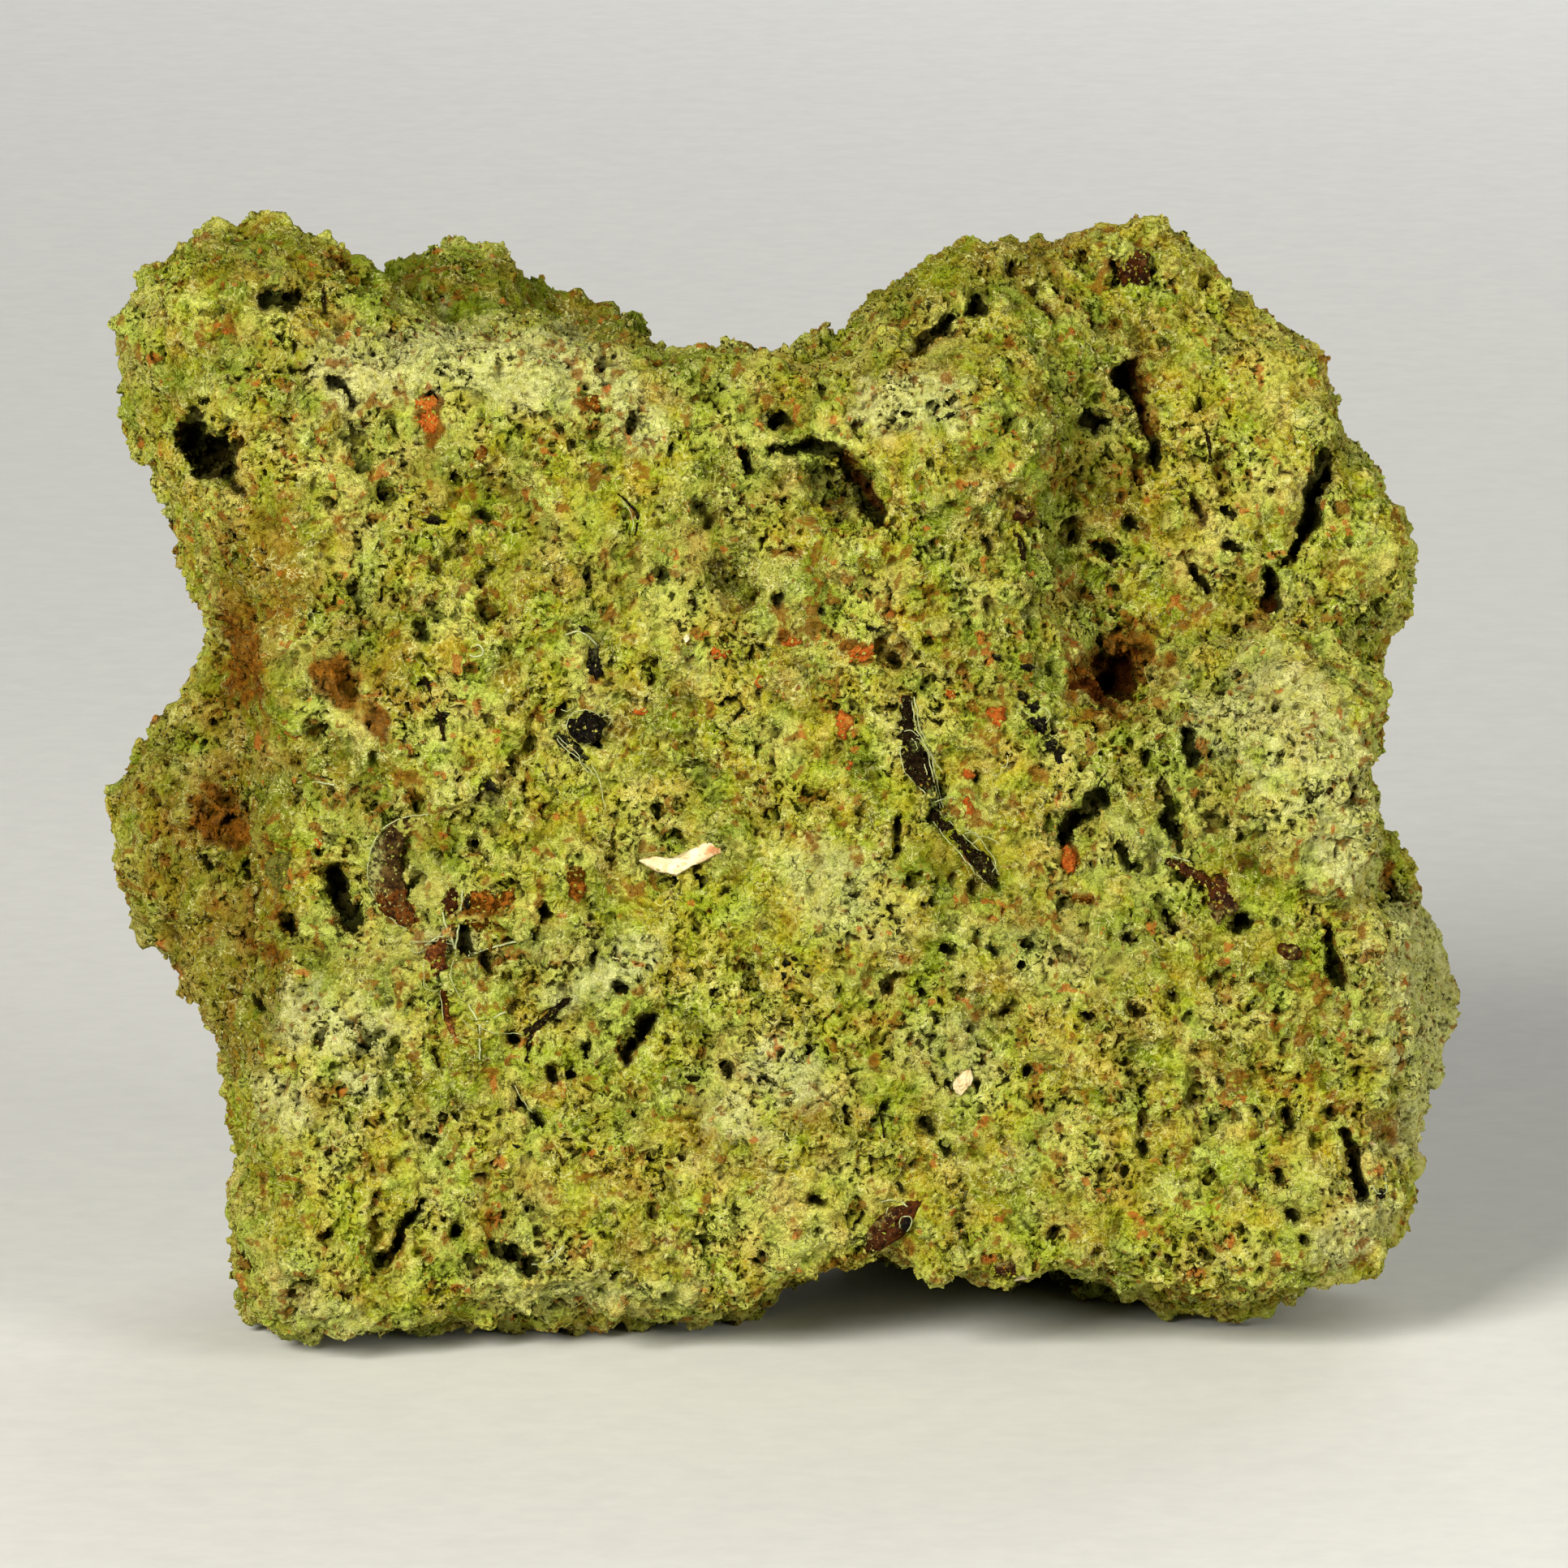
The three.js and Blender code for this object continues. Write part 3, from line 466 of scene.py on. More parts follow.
def in_clusters(tree, value, rise, clusters, cluster_rise):
    """How far a value has risen from one limit to the next, inside the clusters alone."""
    shares = [
        add(tree, "ShaderNodeMapRange", {
            "Value": part, "From Min": start, "From Max": full,
        }, interpolation_type="SMOOTHSTEP")
        for part, (start, full) in ((value, rise), (clusters, cluster_rise))
    ]
    return add(tree, "ShaderNodeMath", {0: shares[0], 1: shares[1]}, operation="MULTIPLY")


def gaps(tree, where, crest):
    """The deep gaps between the ridges, which come in clusters: 1 in a gap."""
    return in_clusters(tree, crest, (0.34, 0.0), patches(tree, where, 2.6, 12, 3.0), (0.25, 0.75))


# Geometry Nodes trees

def new_tree(name, sockets):
    """A tree with named inputs, and the values that it is given for them."""
    tree = bpy.data.node_groups.new(name, "GeometryNodeTree")
    for label, kind in sockets.items():
        tree.interface.new_socket(label, in_out="INPUT", socket_type="NodeSocket" + kind)
    tree.interface.new_socket("Made", in_out="OUTPUT", socket_type="NodeSocketGeometry")
    return tree, add(tree, "NodeGroupInput").outputs


def end_tree(tree, shape, material):
    """Ends a tree with a real mesh in its material."""
    real = add(tree, "GeometryNodeRealizeInstances", {0: shape})
    covered = add(tree, "GeometryNodeSetMaterial", {"Geometry": real, "Material": material})
    add(tree, "NodeGroupOutput", {0: covered})


def grown(mesh, tree, values):
    """The mesh that a node tree makes from another, with the tree's named inputs set."""
    holder = piece_from("grown", mesh)
    modifier = holder.modifiers.new("grow", "NODES")
    modifier.node_group = tree
    for item in tree.interface.items_tree:
        if item.in_out == "INPUT" and item.name in values:
            modifier[item.identifier] = values[item.name]
    made = evaluated_mesh(holder)
    bpy.data.objects.remove(holder)
    return made


# The crumbs and clots of clay

def crumb(name, detail, seed, wild):
    """One irregular crumb of clay with a radius of about 1: 8 faces, 20 or 80 by its detail. It is
    rounder where it is less wild."""
    rough = bmesh.new()
    if detail:
        bmesh.ops.create_icosphere(rough, subdivisions=detail, radius=1)
    else:
        tips = ((1, 0, 0), (-1, 0, 0), (0, 1, 0), (0, -1, 0), (0, 0, 1), (0, 0, -1))
        corners = [rough.verts.new(tip) for tip in tips]
        for a, b in ((0, 2), (2, 1), (1, 3), (3, 0)):
            rough.faces.new((corners[a], corners[b], corners[4]))
            rough.faces.new((corners[b], corners[a], corners[5]))
    rng = np.random.default_rng(seed)
    stretch = 1 + wild * rng.uniform(-0.5, 0.45, 3)
    shift = Vector(rng.uniform(0, 50, 3))
    for corner in rough.verts:
        swell = 1 + 0.75 * wild * noise.noise(corner.co * 1.3 + shift)
        corner.co = Vector(stretch * swell * np.array(corner.co))
    return bpy.data.objects.new(name, plain_mesh(rough, name))


def strew_tree(name, count, detail, seed, material, wild=1.0, keep_skin=False):
    """A node tree that strews crumbs of several shapes on a skin: fewer and smaller ones in pores,
    each with its own size and tint."""
    tree, given = new_tree(name, {
        "Skin": "Geometry", "Front density": "Float", "Rear density": "Float", "Size": "Float",
        "Lift": "Float", "Seed": "Int",
    })
    front = add(tree, "GeometryNodeInputNamedAttribute", {"Name": "front"}, data_type="FLOAT")
    hollow = add(tree, "GeometryNodeInputNamedAttribute", {"Name": "hollow"}, data_type="FLOAT")
    density = add(tree, "ShaderNodeMapRange", {
        "Value": front, "To Min": given["Rear density"], "To Max": given["Front density"],
    })
    open_ground, shy = (
        add(tree, "ShaderNodeMapRange", {
            "Value": hollow, "From Min": start, "From Max": full, "To Min": 1.0, "To Max": least,
        })
        for start, full, least in ((0.1, 0.35, 0.1), (0.15, 0.6, 0.4))
    )
    thinned = add(tree, "ShaderNodeMath", {0: density, 1: open_ground}, operation="MULTIPLY")
    strewn = add(tree, "GeometryNodeDistributePointsOnFaces", {
        "Mesh": given["Skin"], "Density": thinned, "Seed": given["Seed"],
    }, distribute_method="RANDOM")
    size = add(tree, "FunctionNodeRandomValue", {2: 0.55, 3: 1.45, "Seed": 5}, data_type="FLOAT")
    scaled = add(tree, "ShaderNodeMath", {0: size.outputs[1], 1: given["Size"]}, operation="MULTIPLY")
    radius = add(tree, "ShaderNodeMath", {0: scaled, 1: shy}, operation="MULTIPLY")
    turn = add(tree, "FunctionNodeRandomValue", {
        0: (0, 0, 0), 1: (6.28, 6.28, 6.28), "Seed": 6,
    }, data_type="FLOAT_VECTOR")
    pile = bpy.data.collections.new(name + "_shapes")
    for i in range(count):
        pile.objects.link(crumb("%s_%d" % (name, i), detail, seed + i, wild))
    picks = add(tree, "GeometryNodeCollectionInfo", {
        "Collection": pile, "Separate Children": True, "Reset Children": True,
    })
    pick = add(tree, "FunctionNodeRandomValue", {4: 0, 5: count - 1, "Seed": 7}, data_type="INT")
    lift = add(tree, "ShaderNodeMath", {0: radius, 1: given["Lift"]}, operation="MULTIPLY")
    outward = add(tree, "ShaderNodeVectorMath", {
        0: strewn.outputs["Normal"], "Scale": lift,
    }, operation="SCALE")
    raised = add(tree, "GeometryNodeSetPosition", {"Geometry": strewn, "Offset": outward})
    standing = add(tree, "GeometryNodeInstanceOnPoints", {
        "Points": raised, "Instance": picks, "Pick Instance": True,
        "Instance Index": pick.outputs[2], "Rotation": turn, "Scale": radius,
    })
    tint = add(tree, "FunctionNodeRandomValue", {2: -1.0, 3: 1.0, "Seed": 8}, data_type="FLOAT")
    shape = add(tree, "GeometryNodeStoreNamedAttribute", {
        "Geometry": standing, "Name": "tint", "Value": tint.outputs[1],
    }, data_type="FLOAT", domain="INSTANCE")
    if keep_skin:
        real = add(tree, "GeometryNodeRealizeInstances", {0: shape})
        shape = add(tree, "GeometryNodeJoinGeometry", {0: real})
        tree.links.new(given["Skin"], shape.inputs[0])
    end_tree(tree, shape, material)
    return tree


def strewing(front, rear, size, lift, seed):
    """Values for a strewing tree: crumbs to a square millimetre in front and behind, their radius
    in millimetres, and how far they lift, as a share of it."""
    return {
        "Front density": front * PER_MM2, "Rear density": rear * PER_MM2, "Size": size * MM,
        "Lift": lift, "Seed": seed,
    }


def strew(name, skin, tree, values):
    """One piece of many crumbs on the lump."""
    mesh = grown(skin, tree, values)
    keep_on_feet(mesh)
    piece = piece_from(name, mesh)
    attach(piece, "root")


# The lump

def merged_copy(node):
    """A node's mesh with its loose triangles merged."""
    rough = bmesh.new()
    rough.from_mesh(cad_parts[node].data)
    bmesh.ops.remove_doubles(rough, verts=rough.verts, dist=0.001 * MM)
    return plain_mesh(rough, node + "_merged")


def faces_viewer(mesh):
    """How much each vertex faces the viewer, 0 to 1, for features of the front alone."""
    return np.clip(normals(mesh) @ OUT * 2.5 - 0.1, 0, 1)


def front_share(mesh):
    """Stores how much each vertex belongs to the broken front face."""
    store(mesh, "front", np.clip(normals(mesh) @ OUT * 2.2 + 0.35, 0, 1))


def on_face(points):
    """Each point moved along the line of sight onto one plane, for noise that runs down a pit's wall."""
    u, v, w = layout(points)
    return u, v, np.column_stack([u, v, np.zeros(len(u))]) * MM


def pit_depth(points, pits):
    """How far each point sinks into the pits and cracks, whose edges are ragged, in millimetres."""
    u, v, flat = on_face(points)
    ragged = 0.35 * ripple(flat, 1.6, 2) + 0.5 * ripple(flat, 0.62, 3) + 0.35 * ripple(flat, 0.3, 4)
    u = u + 0.16 * ripple(flat, 1.1, 5)
    v = v + 0.12 * ripple(flat, 1.0, 6)
    deepest = np.zeros(len(points))
    for half, depth, line in pits:
        near = away_from_line(u, v, line) / half + ragged
        deepest = np.maximum(deepest, depth * np.clip(1.25 - near, 0, 1) ** 0.6)
    return deepest


def swelling(points):
    """The relief of the swells and folds of the broken face, in millimetres."""
    u, v, w = layout(points)
    relief = np.zeros(len(points))
    for height, half_u, half_v, (at_u, at_v) in BULGES:
        away = ((u - at_u) / half_u) ** 2 + ((v - at_v) / half_v) ** 2
        relief = relief + height * np.exp(-away ** 2)
    for depth, half, line in FOLDS:
        relief = relief - depth * np.exp(-(away_from_line(u, v, line) / half) ** 2)
    return relief


def pore_depth(points):
    """How far each point sinks into the pores, which come in clusters, in millimetres."""
    cluster = 0.30 * ripple(points, 5.5, 41)
    stretched = points * np.array([1.25, 1.0, 0.75])
    wide = ripple(stretched, 1.45, 42) + 0.45 * ripple(points, 0.5, 43) + cluster
    narrow = ripple(stretched, 0.72, 44) + 0.35 * ripple(points, 0.35, 45) + 0.8 * cluster
    wide_share = np.clip((wide - 0.84) / 0.12, 0, 1)
    narrow_share = np.clip((narrow - 0.82) / 0.12, 0, 1)
    return PORE_DEPTH * np.maximum(wide_share, 0.65 * narrow_share)


def mark_strength(points, facing, marks, ragged):
    """The strength of a set of stains at each point, with ragged edges."""
    u, v, w = layout(points)
    strength = np.zeros(len(points))
    for amount, half, line in marks:
        reach = away_from_line(u, v, line) / half + ragged
        strength = np.maximum(strength, amount * np.clip(1.5 - 0.8 * reach, 0, 1))
    return strength * facing


def lump_form():
    """The solid's form, softened, with soft lumps and with the named pits and cracks."""
    mesh = smoothed(remeshed(merged_copy("nontronite_mass"), BODY_GRAIN), 6)
    points = positions(mesh)
    points[:, 1] = np.minimum(points[:, 1], REAR_LIMIT * MM)
    move_to(mesh, points)
    lumps = 0.24 * ripple(points, 4.6, 11) + 0.24 * ripple(points, 2.2, 12) - CLOT_SINK
    lumps += swelling(points) * faces_viewer(mesh)
    move_to(mesh, points + normals(mesh) * lumps[:, None] * MM)
    points = positions(mesh)
    caves = [pit for pit in PITS if pit[0] >= CAVE_HALF]
    sunk = pit_depth(points, caves) * faces_viewer(mesh)
    move_to(mesh, points - sunk[:, None] * OUT * MM)
    return mesh


def keep_on_feet(mesh):
    """Nothing hangs below the surface that the lump rests on."""
    points = positions(mesh)
    points[:, 2] = np.maximum(points[:, 2], 0)
    move_to(mesh, points)


def clotted(mesh, material):
    """The form with its clots of clay grown together into one porous skin."""
    large = strew_tree("large_clots", 4, 2, 20, material, 0.5, True)
    small = strew_tree("small_clots", 5, 1, 30, material, 0.45, True)
    for tree, values, edge in (
        (large, strewing(0.5, 0.5, CLOT_LARGE, 0.1, 91), LARGE_CLOT_GRAIN),
        (small, strewing(2.2, 2.0, CLOT_SMALL, 0.15, 92), CLOT_GRAIN),
    ):
        front_share(mesh)
        mesh = remeshed(grown(mesh, tree, values), edge)
    return mesh


def porous(mesh):
    """The clotted skin with its pores, pits and cracks sunk into it."""
    calm = smoothed(mesh, 40)
    points = positions(mesh)
    sunk = pit_depth(points, PITS) * faces_viewer(calm)
    move = -normals(calm) * pore_depth(points)[:, None] - OUT * sunk[:, None]
    move_to(mesh, points + move * MM)
    return remeshed(mesh, SKIN_GRAIN)


def crinkle_tree(material):
    """A node tree that raises the clay's wavy ridges on its skin and sinks the gaps between them."""
    tree, given = new_tree("crinkles", {"Skin": "Geometry", "Height": "Float", "Gap depth": "Float"})
    spot = add(tree, "GeometryNodeInputPosition")
    where = add(tree, "ShaderNodeVectorMath", {0: spot, "Scale": 1 / MM}, operation="SCALE")
    crest = crests(tree, where, CRINKLE, 1)
    gap = gaps(tree, where, crest)
    centred = add(tree, "ShaderNodeMath", {0: crest, 1: 0.5}, operation="SUBTRACT")
    raised = add(tree, "ShaderNodeMath", {0: centred, 1: given["Height"]}, operation="MULTIPLY")
    sunk = add(tree, "ShaderNodeMath", {0: gap, 1: given["Gap depth"]}, operation="MULTIPLY")
    height = add(tree, "ShaderNodeMath", {0: raised, 1: sunk}, operation="SUBTRACT")
    outward = add(tree, "GeometryNodeInputNormal")
    offset = add(tree, "ShaderNodeVectorMath", {0: outward, "Scale": height}, operation="SCALE")
    moved = add(tree, "GeometryNodeSetPosition", {"Geometry": given["Skin"], "Offset": offset})
    end_tree(tree, moved, material)
    return tree


def make_lump(material):
    """The whole skin of the lump as one mesh, with the numbers that its materials read."""
    mesh = porous(clotted(lump_form(), material))
    mesh = grown(mesh, crinkle_tree(material), {
        "Height": CRINKLE_HEIGHT * MM, "Gap depth": GAP_DEPTH * MM,
    })
    keep_on_feet(mesh)
    points = positions(mesh)
    calm = smoothed(mesh, 90)
    below = np.einsum("ij,ij->i", positions(calm) - points, normals(calm)) / MM
    facing = np.clip(normals(calm) @ OUT * 2 + 0.8, 0, 1)
    store(mesh, "hollow", below)
    store(mesh, "pit", np.clip(pit_depth(points, PITS), 0, 2) * facing)
    ragged = 0.55 * ripple(points, 0.7, 21) + 0.45 * ripple(points, 2.0, 22)
    for name, marks in (("rust", RUST), ("dust", DUST_AND_LIGHT), ("tan", TAN), ("green", GREEN_AND_SHADE), ("painted_shade", PAINTED_SHADE)):
        store(mesh, name, mark_strength(points, facing, marks, ragged))
    store(mesh, "tint", np.zeros(len(points)))
    front_share(mesh)
    return mesh


# The front is cut between these limits of u, and the rear at the middle
FRONT_PARTS = {
    "lump_left": (-40.0, -15.4), "lump_centre_left": (-15.4, 0.2),
    "lump_centre_right": (0.2, 14.1), "lump_right": (14.1, 40.0),
}
REAR_FROM = -11


def inside_rim(spot, starts, ends):
    """Whether a place lies inside the closed outlines of a section: a line from it to the right
    crosses them an odd number of times."""
    rising = (starts[:, 1] > spot[1]) != (ends[:, 1] > spot[1])
    a, b = starts[rising], ends[rising]
    at = a[:, 0] + (spot[1] - a[:, 1]) / (b[:, 1] - a[:, 1]) * (b[:, 0] - a[:, 0])
    return np.count_nonzero(at > spot[0]) % 2 == 1


def split_where_crossed(shell, rim, places, crossings):
    """Gives the lines of a rim a corner where another line crosses them."""
    met = {}
    for parent, spots in crossings.items():
        line = rim[parent]
        corner = line.verts[0]
        for spot in sorted(spots, key=lambda k: (places[k] - line.verts[0].co).length):
            share = min((places[spot] - corner.co).length / line.calc_length(), 1)
            corner = bmesh.utils.edge_split(line, corner, share)[1]
            corner.co = places[spot]
            met.setdefault(spot, []).append(corner)
    doubles = {extra: group[0] for group in met.values() for extra in group[1:]}
    bmesh.ops.weld_verts(shell, targetmap=doubles)
    return {spot: group[0] for spot, group in met.items()}


def cut_off(mesh, edge, outward):
    """The part of a closed mesh behind a plane, closed again by a flat face."""
    shell = bmesh.new()
    shell.from_mesh(mesh)
    everything = shell.verts[:] + shell.edges[:] + shell.faces[:]
    cut = bmesh.ops.bisect_plane(shell, geom=everything, plane_co=edge, plane_no=outward, clear_outer=True)
    rim = [item for item in cut["geom_cut"] if isinstance(item, bmesh.types.BMEdge)]
    if rim:
        corners = list(dict.fromkeys(corner for line in rim for corner in line.verts))
        number = {corner: i for i, corner in enumerate(corners)}
        across = outward.orthogonal().normalized()
        upward = outward.cross(across)
        flat = [Vector(((c.co - edge).dot(across), (c.co - edge).dot(upward))) / MM for c in corners]
        lines = [(number[line.verts[0]], number[line.verts[1]]) for line in rim]
        starts = np.array([flat[a] for a, b in lines])
        ends = np.array([flat[b] for a, b in lines])
        spots, sides, triangles, sources, parents, _ = delaunay_2d_cdt(flat, lines, [], 1, 1e-6, True)
        places = [edge + (across * spot[0] + upward * spot[1]) * MM for spot in spots]
        crossings = {}
        for side, owners in zip(sides, parents):
            for spot in side:
                for owner in owners if not sources[spot] else ():
                    crossings.setdefault(owner, set()).add(spot)
        added = split_where_crossed(shell, rim, places, crossings)
        caps = set()
        for triangle in triangles:
            middle = sum((np.array(spots[i]) for i in triangle), np.zeros(2)) / 3
            if inside_rim(middle, starts, ends):
                cap = [corners[sources[i][0]] if sources[i] else added[i] for i in triangle]
                caps.add(shell.faces.new(cap))
        for line in {line for face in caps for line in face.edges}:
            line.smooth = caps.issuperset(line.link_faces)
    return plain_mesh(shell, "part")


def split_lump(mesh, material):
    """The skin as six closed pieces, which meet at flat cuts."""
    to_right = Vector((1, 0, 0))
    front = cut_off(mesh, place(0, 0, REAR_FROM), Vector(-OUT))
    rear = cut_off(mesh, place(0, 0, REAR_FROM), Vector(OUT))
    parts = {}
    for name, (from_u, to_u) in FRONT_PARTS.items():
        parts[name] = cut_off(cut_off(front, place(from_u, 0), -to_right), place(to_u, 0), to_right)
    parts["lump_rear_left"] = cut_off(rear, place(0, 0), to_right)
    parts["lump_rear_right"] = cut_off(rear, place(0, 0), -to_right)
    pieces = []
    for name, part in parts.items():
        if "rear" in name:
            part = with_modifier(part, "DECIMATE", ratio=REAR_SHARE)
        part.materials.clear()
        part.materials.append(material)
        smooth_shading(part)
        pieces.append(piece_from(name, part))
    return pieces


# Materials

def new_material(name):
    """A material, its empty tree, and the place on the object in millimetres."""
    material = bpy.data.materials.new(name)
    material.use_nodes = True
    tree = material.node_tree
    tree.nodes.clear()
    spot = add(tree, "ShaderNodeTexCoord").outputs["Object"]
    where = add(tree, "ShaderNodeVectorMath", {0: spot, "Scale": 1 / MM}, operation="SCALE")
    return material, tree, where


def end_material(tree, color, roughness, specular, height=None, relief=0.0):
    """Ends a material's tree with its shader. Fine relief follows a height, to a depth in
    millimetres."""
    surface = {"Base Color": color, "Roughness": roughness, "Specular IOR Level": specular}
    if height is not None:
        surface["Normal"] = add(tree, "ShaderNodeBump", {
            "Strength": 0.9, "Distance": relief * MM, "Height": height,
        })
    shader = add(tree, "ShaderNodeBsdfPrincipled", surface)
    add(tree, "ShaderNodeOutputMaterial", {0: shader})


def coated(tree, color, coats):
    """A colour under coats of others. Each coat has the value that it follows, the limits between
    which it comes up, its strength and its colour. One without limits follows a share from 0 to 1."""
    for value, limits, strength, coat in coats:
        start, full = limits or (0.0, 1.0)
        share = add(tree, "ShaderNodeMapRange", {
            "Value": value, "From Min": start, "From Max": full, "To Max": strength,
        }, interpolation_type="SMOOTHSTEP" if limits else "LINEAR")
        below, above = (linear(c) if isinstance(c, str) else c for c in (color, coat))
        color = add(tree, "ShaderNodeMix", {0: share, 6: below, 7: above}, data_type="RGBA").outputs[2]
    return color


def nontronite():
    """Nontronite, an iron-rich clay: matt and earthy, yellow-green where it is clean, paler where
    it is dusty, brown where its iron has turned to rust. Painted shade darkens its pores, gaps, pits,
    hollows and shadowed patches, and painted highlights make its ridges and tips paler."""
    material, tree, where = new_material("earthy_nontronite_clay")
    tan, green, painted_shade, dust, rust, pit, hollow, tint = (
        add(tree, "ShaderNodeAttribute", attribute_name=name).outputs["Fac"]
        for name in ("tan", "green", "painted_shade", "dust", "rust", "pit", "hollow", "tint")
    )
    crest = crests(tree, where, CRINKLE, 1)
    fine_crest = crests(tree, where, FINE_CRINKLE, 2)
    # Warmth runs from green clay, 0, to clay browned by iron, 1
    warmth = -0.31
    for cause, strength in (
        (tan, 0.3), (green, -0.15), (patches(tree, where, 3.4, 2, 4.0), 0.4),
        (patches(tree, where, 1.5, 3, 2.5), 0.85),
    ):
        warmth = add(tree, "ShaderNodeMath", {0: cause, 1: strength, 2: warmth}, operation="MULTIPLY_ADD")
    body = coated(tree, "#8e9a12", [(warmth, None, 1.0, "#ae901e")])
    shade = coated(tree, "#586606", [(warmth, None, 1.0, "#7e5a14")])
    pale = coated(tree, "#b8c25a", [(warmth, None, 1.0, "#d2c06c")])
    # The gap colour is painted shade for the gaps and hollows
    gap = coated(tree, "#2e3201", [(warmth, None, 1.0, "#4a2602")])
    grainy = coated(tree, "#a4a44c", [(patches(tree, where, 0.35, 8, 3.0), None, 1.0, "#d6d69a")])
    rusty = coated(tree, "#3a1a02", [(patches(tree, where, 0.4, 7, 4.0), None, 1.0, "#8e5614")])
    # Painted shade for the pits: near black, rust-brown where rust lies
    depths = coated(tree, "#080701", [(rust, (0.3, 0.9), 1.0, "#3e1a04")])
    # Pale crusted edges and thin dry cracks, each in clusters
    edges = crests(tree, where, 0.5, 4)
    crust = in_clusters(tree, edges, (0.8, 0.96), patches(tree, where, 1.6, 16, 2.0), (0.35, 0.7))
    seams = crests(tree, where, 0.8, 3)
    crack = in_clusters(tree, seams, (0.86, 0.97), patches(tree, where, 2.0, 15, 2.0), (0.4, 0.65))
    flecks = add(tree, "ShaderNodeMath", {
        0: patches(tree, where, 3.2, 11, 3.0), 1: 0.45, 2: patches(tree, where, 0.75, 5, 2.0),
    }, operation="MULTIPLY_ADD")
    rust_edge = add(tree, "ShaderNodeMath", {
        0: patches(tree, where, 0.7, 13, 4.0), 1: 0.5, 2: rust,
    }, operation="MULTIPLY_ADD")
    body = coated(tree, body, [
        (patches(tree, where, 1.3, 1, 3.0), (0.55, 0.05), 0.8, shade),
        (patches(tree, where, 3.6, 14, 2.0), (0.6, 0.15), 0.9, shade),
        (patches(tree, where, 2.8, 17, 3.0), (0.42, 0.9), 0.7, pale),
        # Painted shade, which darkens the greener marks
        (green, (0.1, 1.0), 0.55, shade),
        # Painted highlight: the tips that stand out from the calm surface are paler
        (hollow, (-0.04, -0.24), 0.5, pale),
        (tint, (0.1, 1.0), 0.3, pale),
        (tint, (-0.2, -1.0), 0.35, shade),
        # Painted highlight on the crests of the wavy ridges and painted shade in the gaps between them
        (crest, (0.55, 1.0), 0.35, pale),
        (fine_crest, (0.55, 1.0), 0.3, pale),
        (fine_crest, (0.4, 0.0), 0.4, shade),
        (crest, (0.4, 0.0), 0.4, gap),
        # Painted shade along the marks where the surface falls into shadow
        (painted_shade, (0.05, 1.0), 0.65, shade),
        (patches(tree, where, 6.0, 4, 4.0), (0.6, 1.0), 0.4, "#b8b860"),
        # Pale dust, and painted light on the right edge
        (dust, (0.05, 1.0), 0.72, grainy),
        (crust, None, 0.7, "#d2d08c"),
        (crack, None, 0.75, "#1e1c02"),
        (flecks, (0.92, 1.2), 0.8, "#7a4a14"),
        (patches(tree, where, 1.1, 6, 2.0), (0.9, 1.0), 0.75, "#a25a22"),
        (rust_edge, (0.55, 1.2), 0.92, rusty),
        # Painted shade: darker towards black in the hollows, the deep gaps between the ridges and the pits
        (hollow, (0.03, 0.16), 0.55, gap),
        (hollow, (0.14, 0.34), 0.94, "#0e0c01"),
        (gaps(tree, where, crest), (0.25, 0.9), 0.85, "#161601"),
        (pit, (0.5, 1.1), 0.9, depths),
    ])
    fine = add(tree, "ShaderNodeTexNoise", {
        "Vector": where, "Scale": 1 / GRIT, "Detail": 3.0, "Roughness": 0.7,
    })
    height = add(tree, "ShaderNodeMath", {0: fine_crest, 1: 0.6, 2: fine}, operation="MULTIPLY_ADD")
    end_material(tree, body, 0.95, 0.02, height, 0.09)
    return material


def lodged_material(name, dark, light, dusty, size, roughness, specular=0.2, relief=0.05, warm="#7a3a14"):
    """A finish in four colours: two in patches of a size in millimetres, then a warm stain and clay
    dust, whose strengths the piece carries. Its grain is drawn as coarse as it needs to show."""
    material, tree, where = new_material(name)
    coats = [(patches(tree, where, size, 3, 4.0), None, 1.0, light)]
    for stain, color, seed in (("warm", warm, 6), ("stain", dusty, 5)):
        carried = add(tree, "ShaderNodeAttribute", attribute_name=stain).outputs["Fac"]
        worked = add(tree, "ShaderNodeMath", {
            0: patches(tree, where, size * 0.6, seed, 4.0), 1: carried,
        }, operation="MULTIPLY")
        coats.append((worked, (0.1, 0.6), 0.85, color))
    coats.append((patches(tree, where, size * 0.4, 7, 3.0), (0.55, 0.25), 0.8, dark))
    coats.append((patches(tree, where, size * 0.3, 8, 2.0), (0.8, 0.92), 0.7, dusty))
    fine = add(tree, "ShaderNodeTexNoise", {
        "Vector": where, "Scale": 2.2 / size, "Detail": 4.0, "Roughness": 0.65,
    })
    end_material(tree, coated(tree, dark, coats), roughness, specular, fine, relief)
    return material


def painted_floor():
    """Matt white board: a plain pale floor with a faint grain."""
    material, tree, where = new_material("matt_white_board")
    color = coated(tree, "#dcdcda", [(patches(tree, where, 1.5, 9, 4.0), None, 1.0, "#e2e2df")])
    end_material(tree, color, 0.9, 0.1)
    return material


# The stage, in metres where nothing else is said

IMAGE_SIDE = 1932  # in pixels
PIXELS_PER_MM = 30.0
CAMERA_DISTANCE = 0.8
FACE_MIDDLE = (0.0, 24.03, -4.0)  # what the camera looks at, in the viewer's layout
FLOOR_FRONT = -1.6
FLOOR_BACK = 1.2
FLOOR_HALF = 2.2
BEND = 0.3
WALL_TOP = 1.8
AIM = Vector((0, 0, 0.022))  # what the lights face

# Lights: name, azimuth and elevation in degrees, distance, side, power and colour
LIGHTS = [
    ("key", -26, 24, 0.6, 0.22, 5.25, (1.0, 0.975, 0.885)),
    ("fill", 46, 16, 0.7, 0.4, 3.4, (1.0, 0.98, 0.89)),
    ("rear", 165, 24, 0.7, 0.4, 2.0, (1.0, 1.0, 1.0)),
]


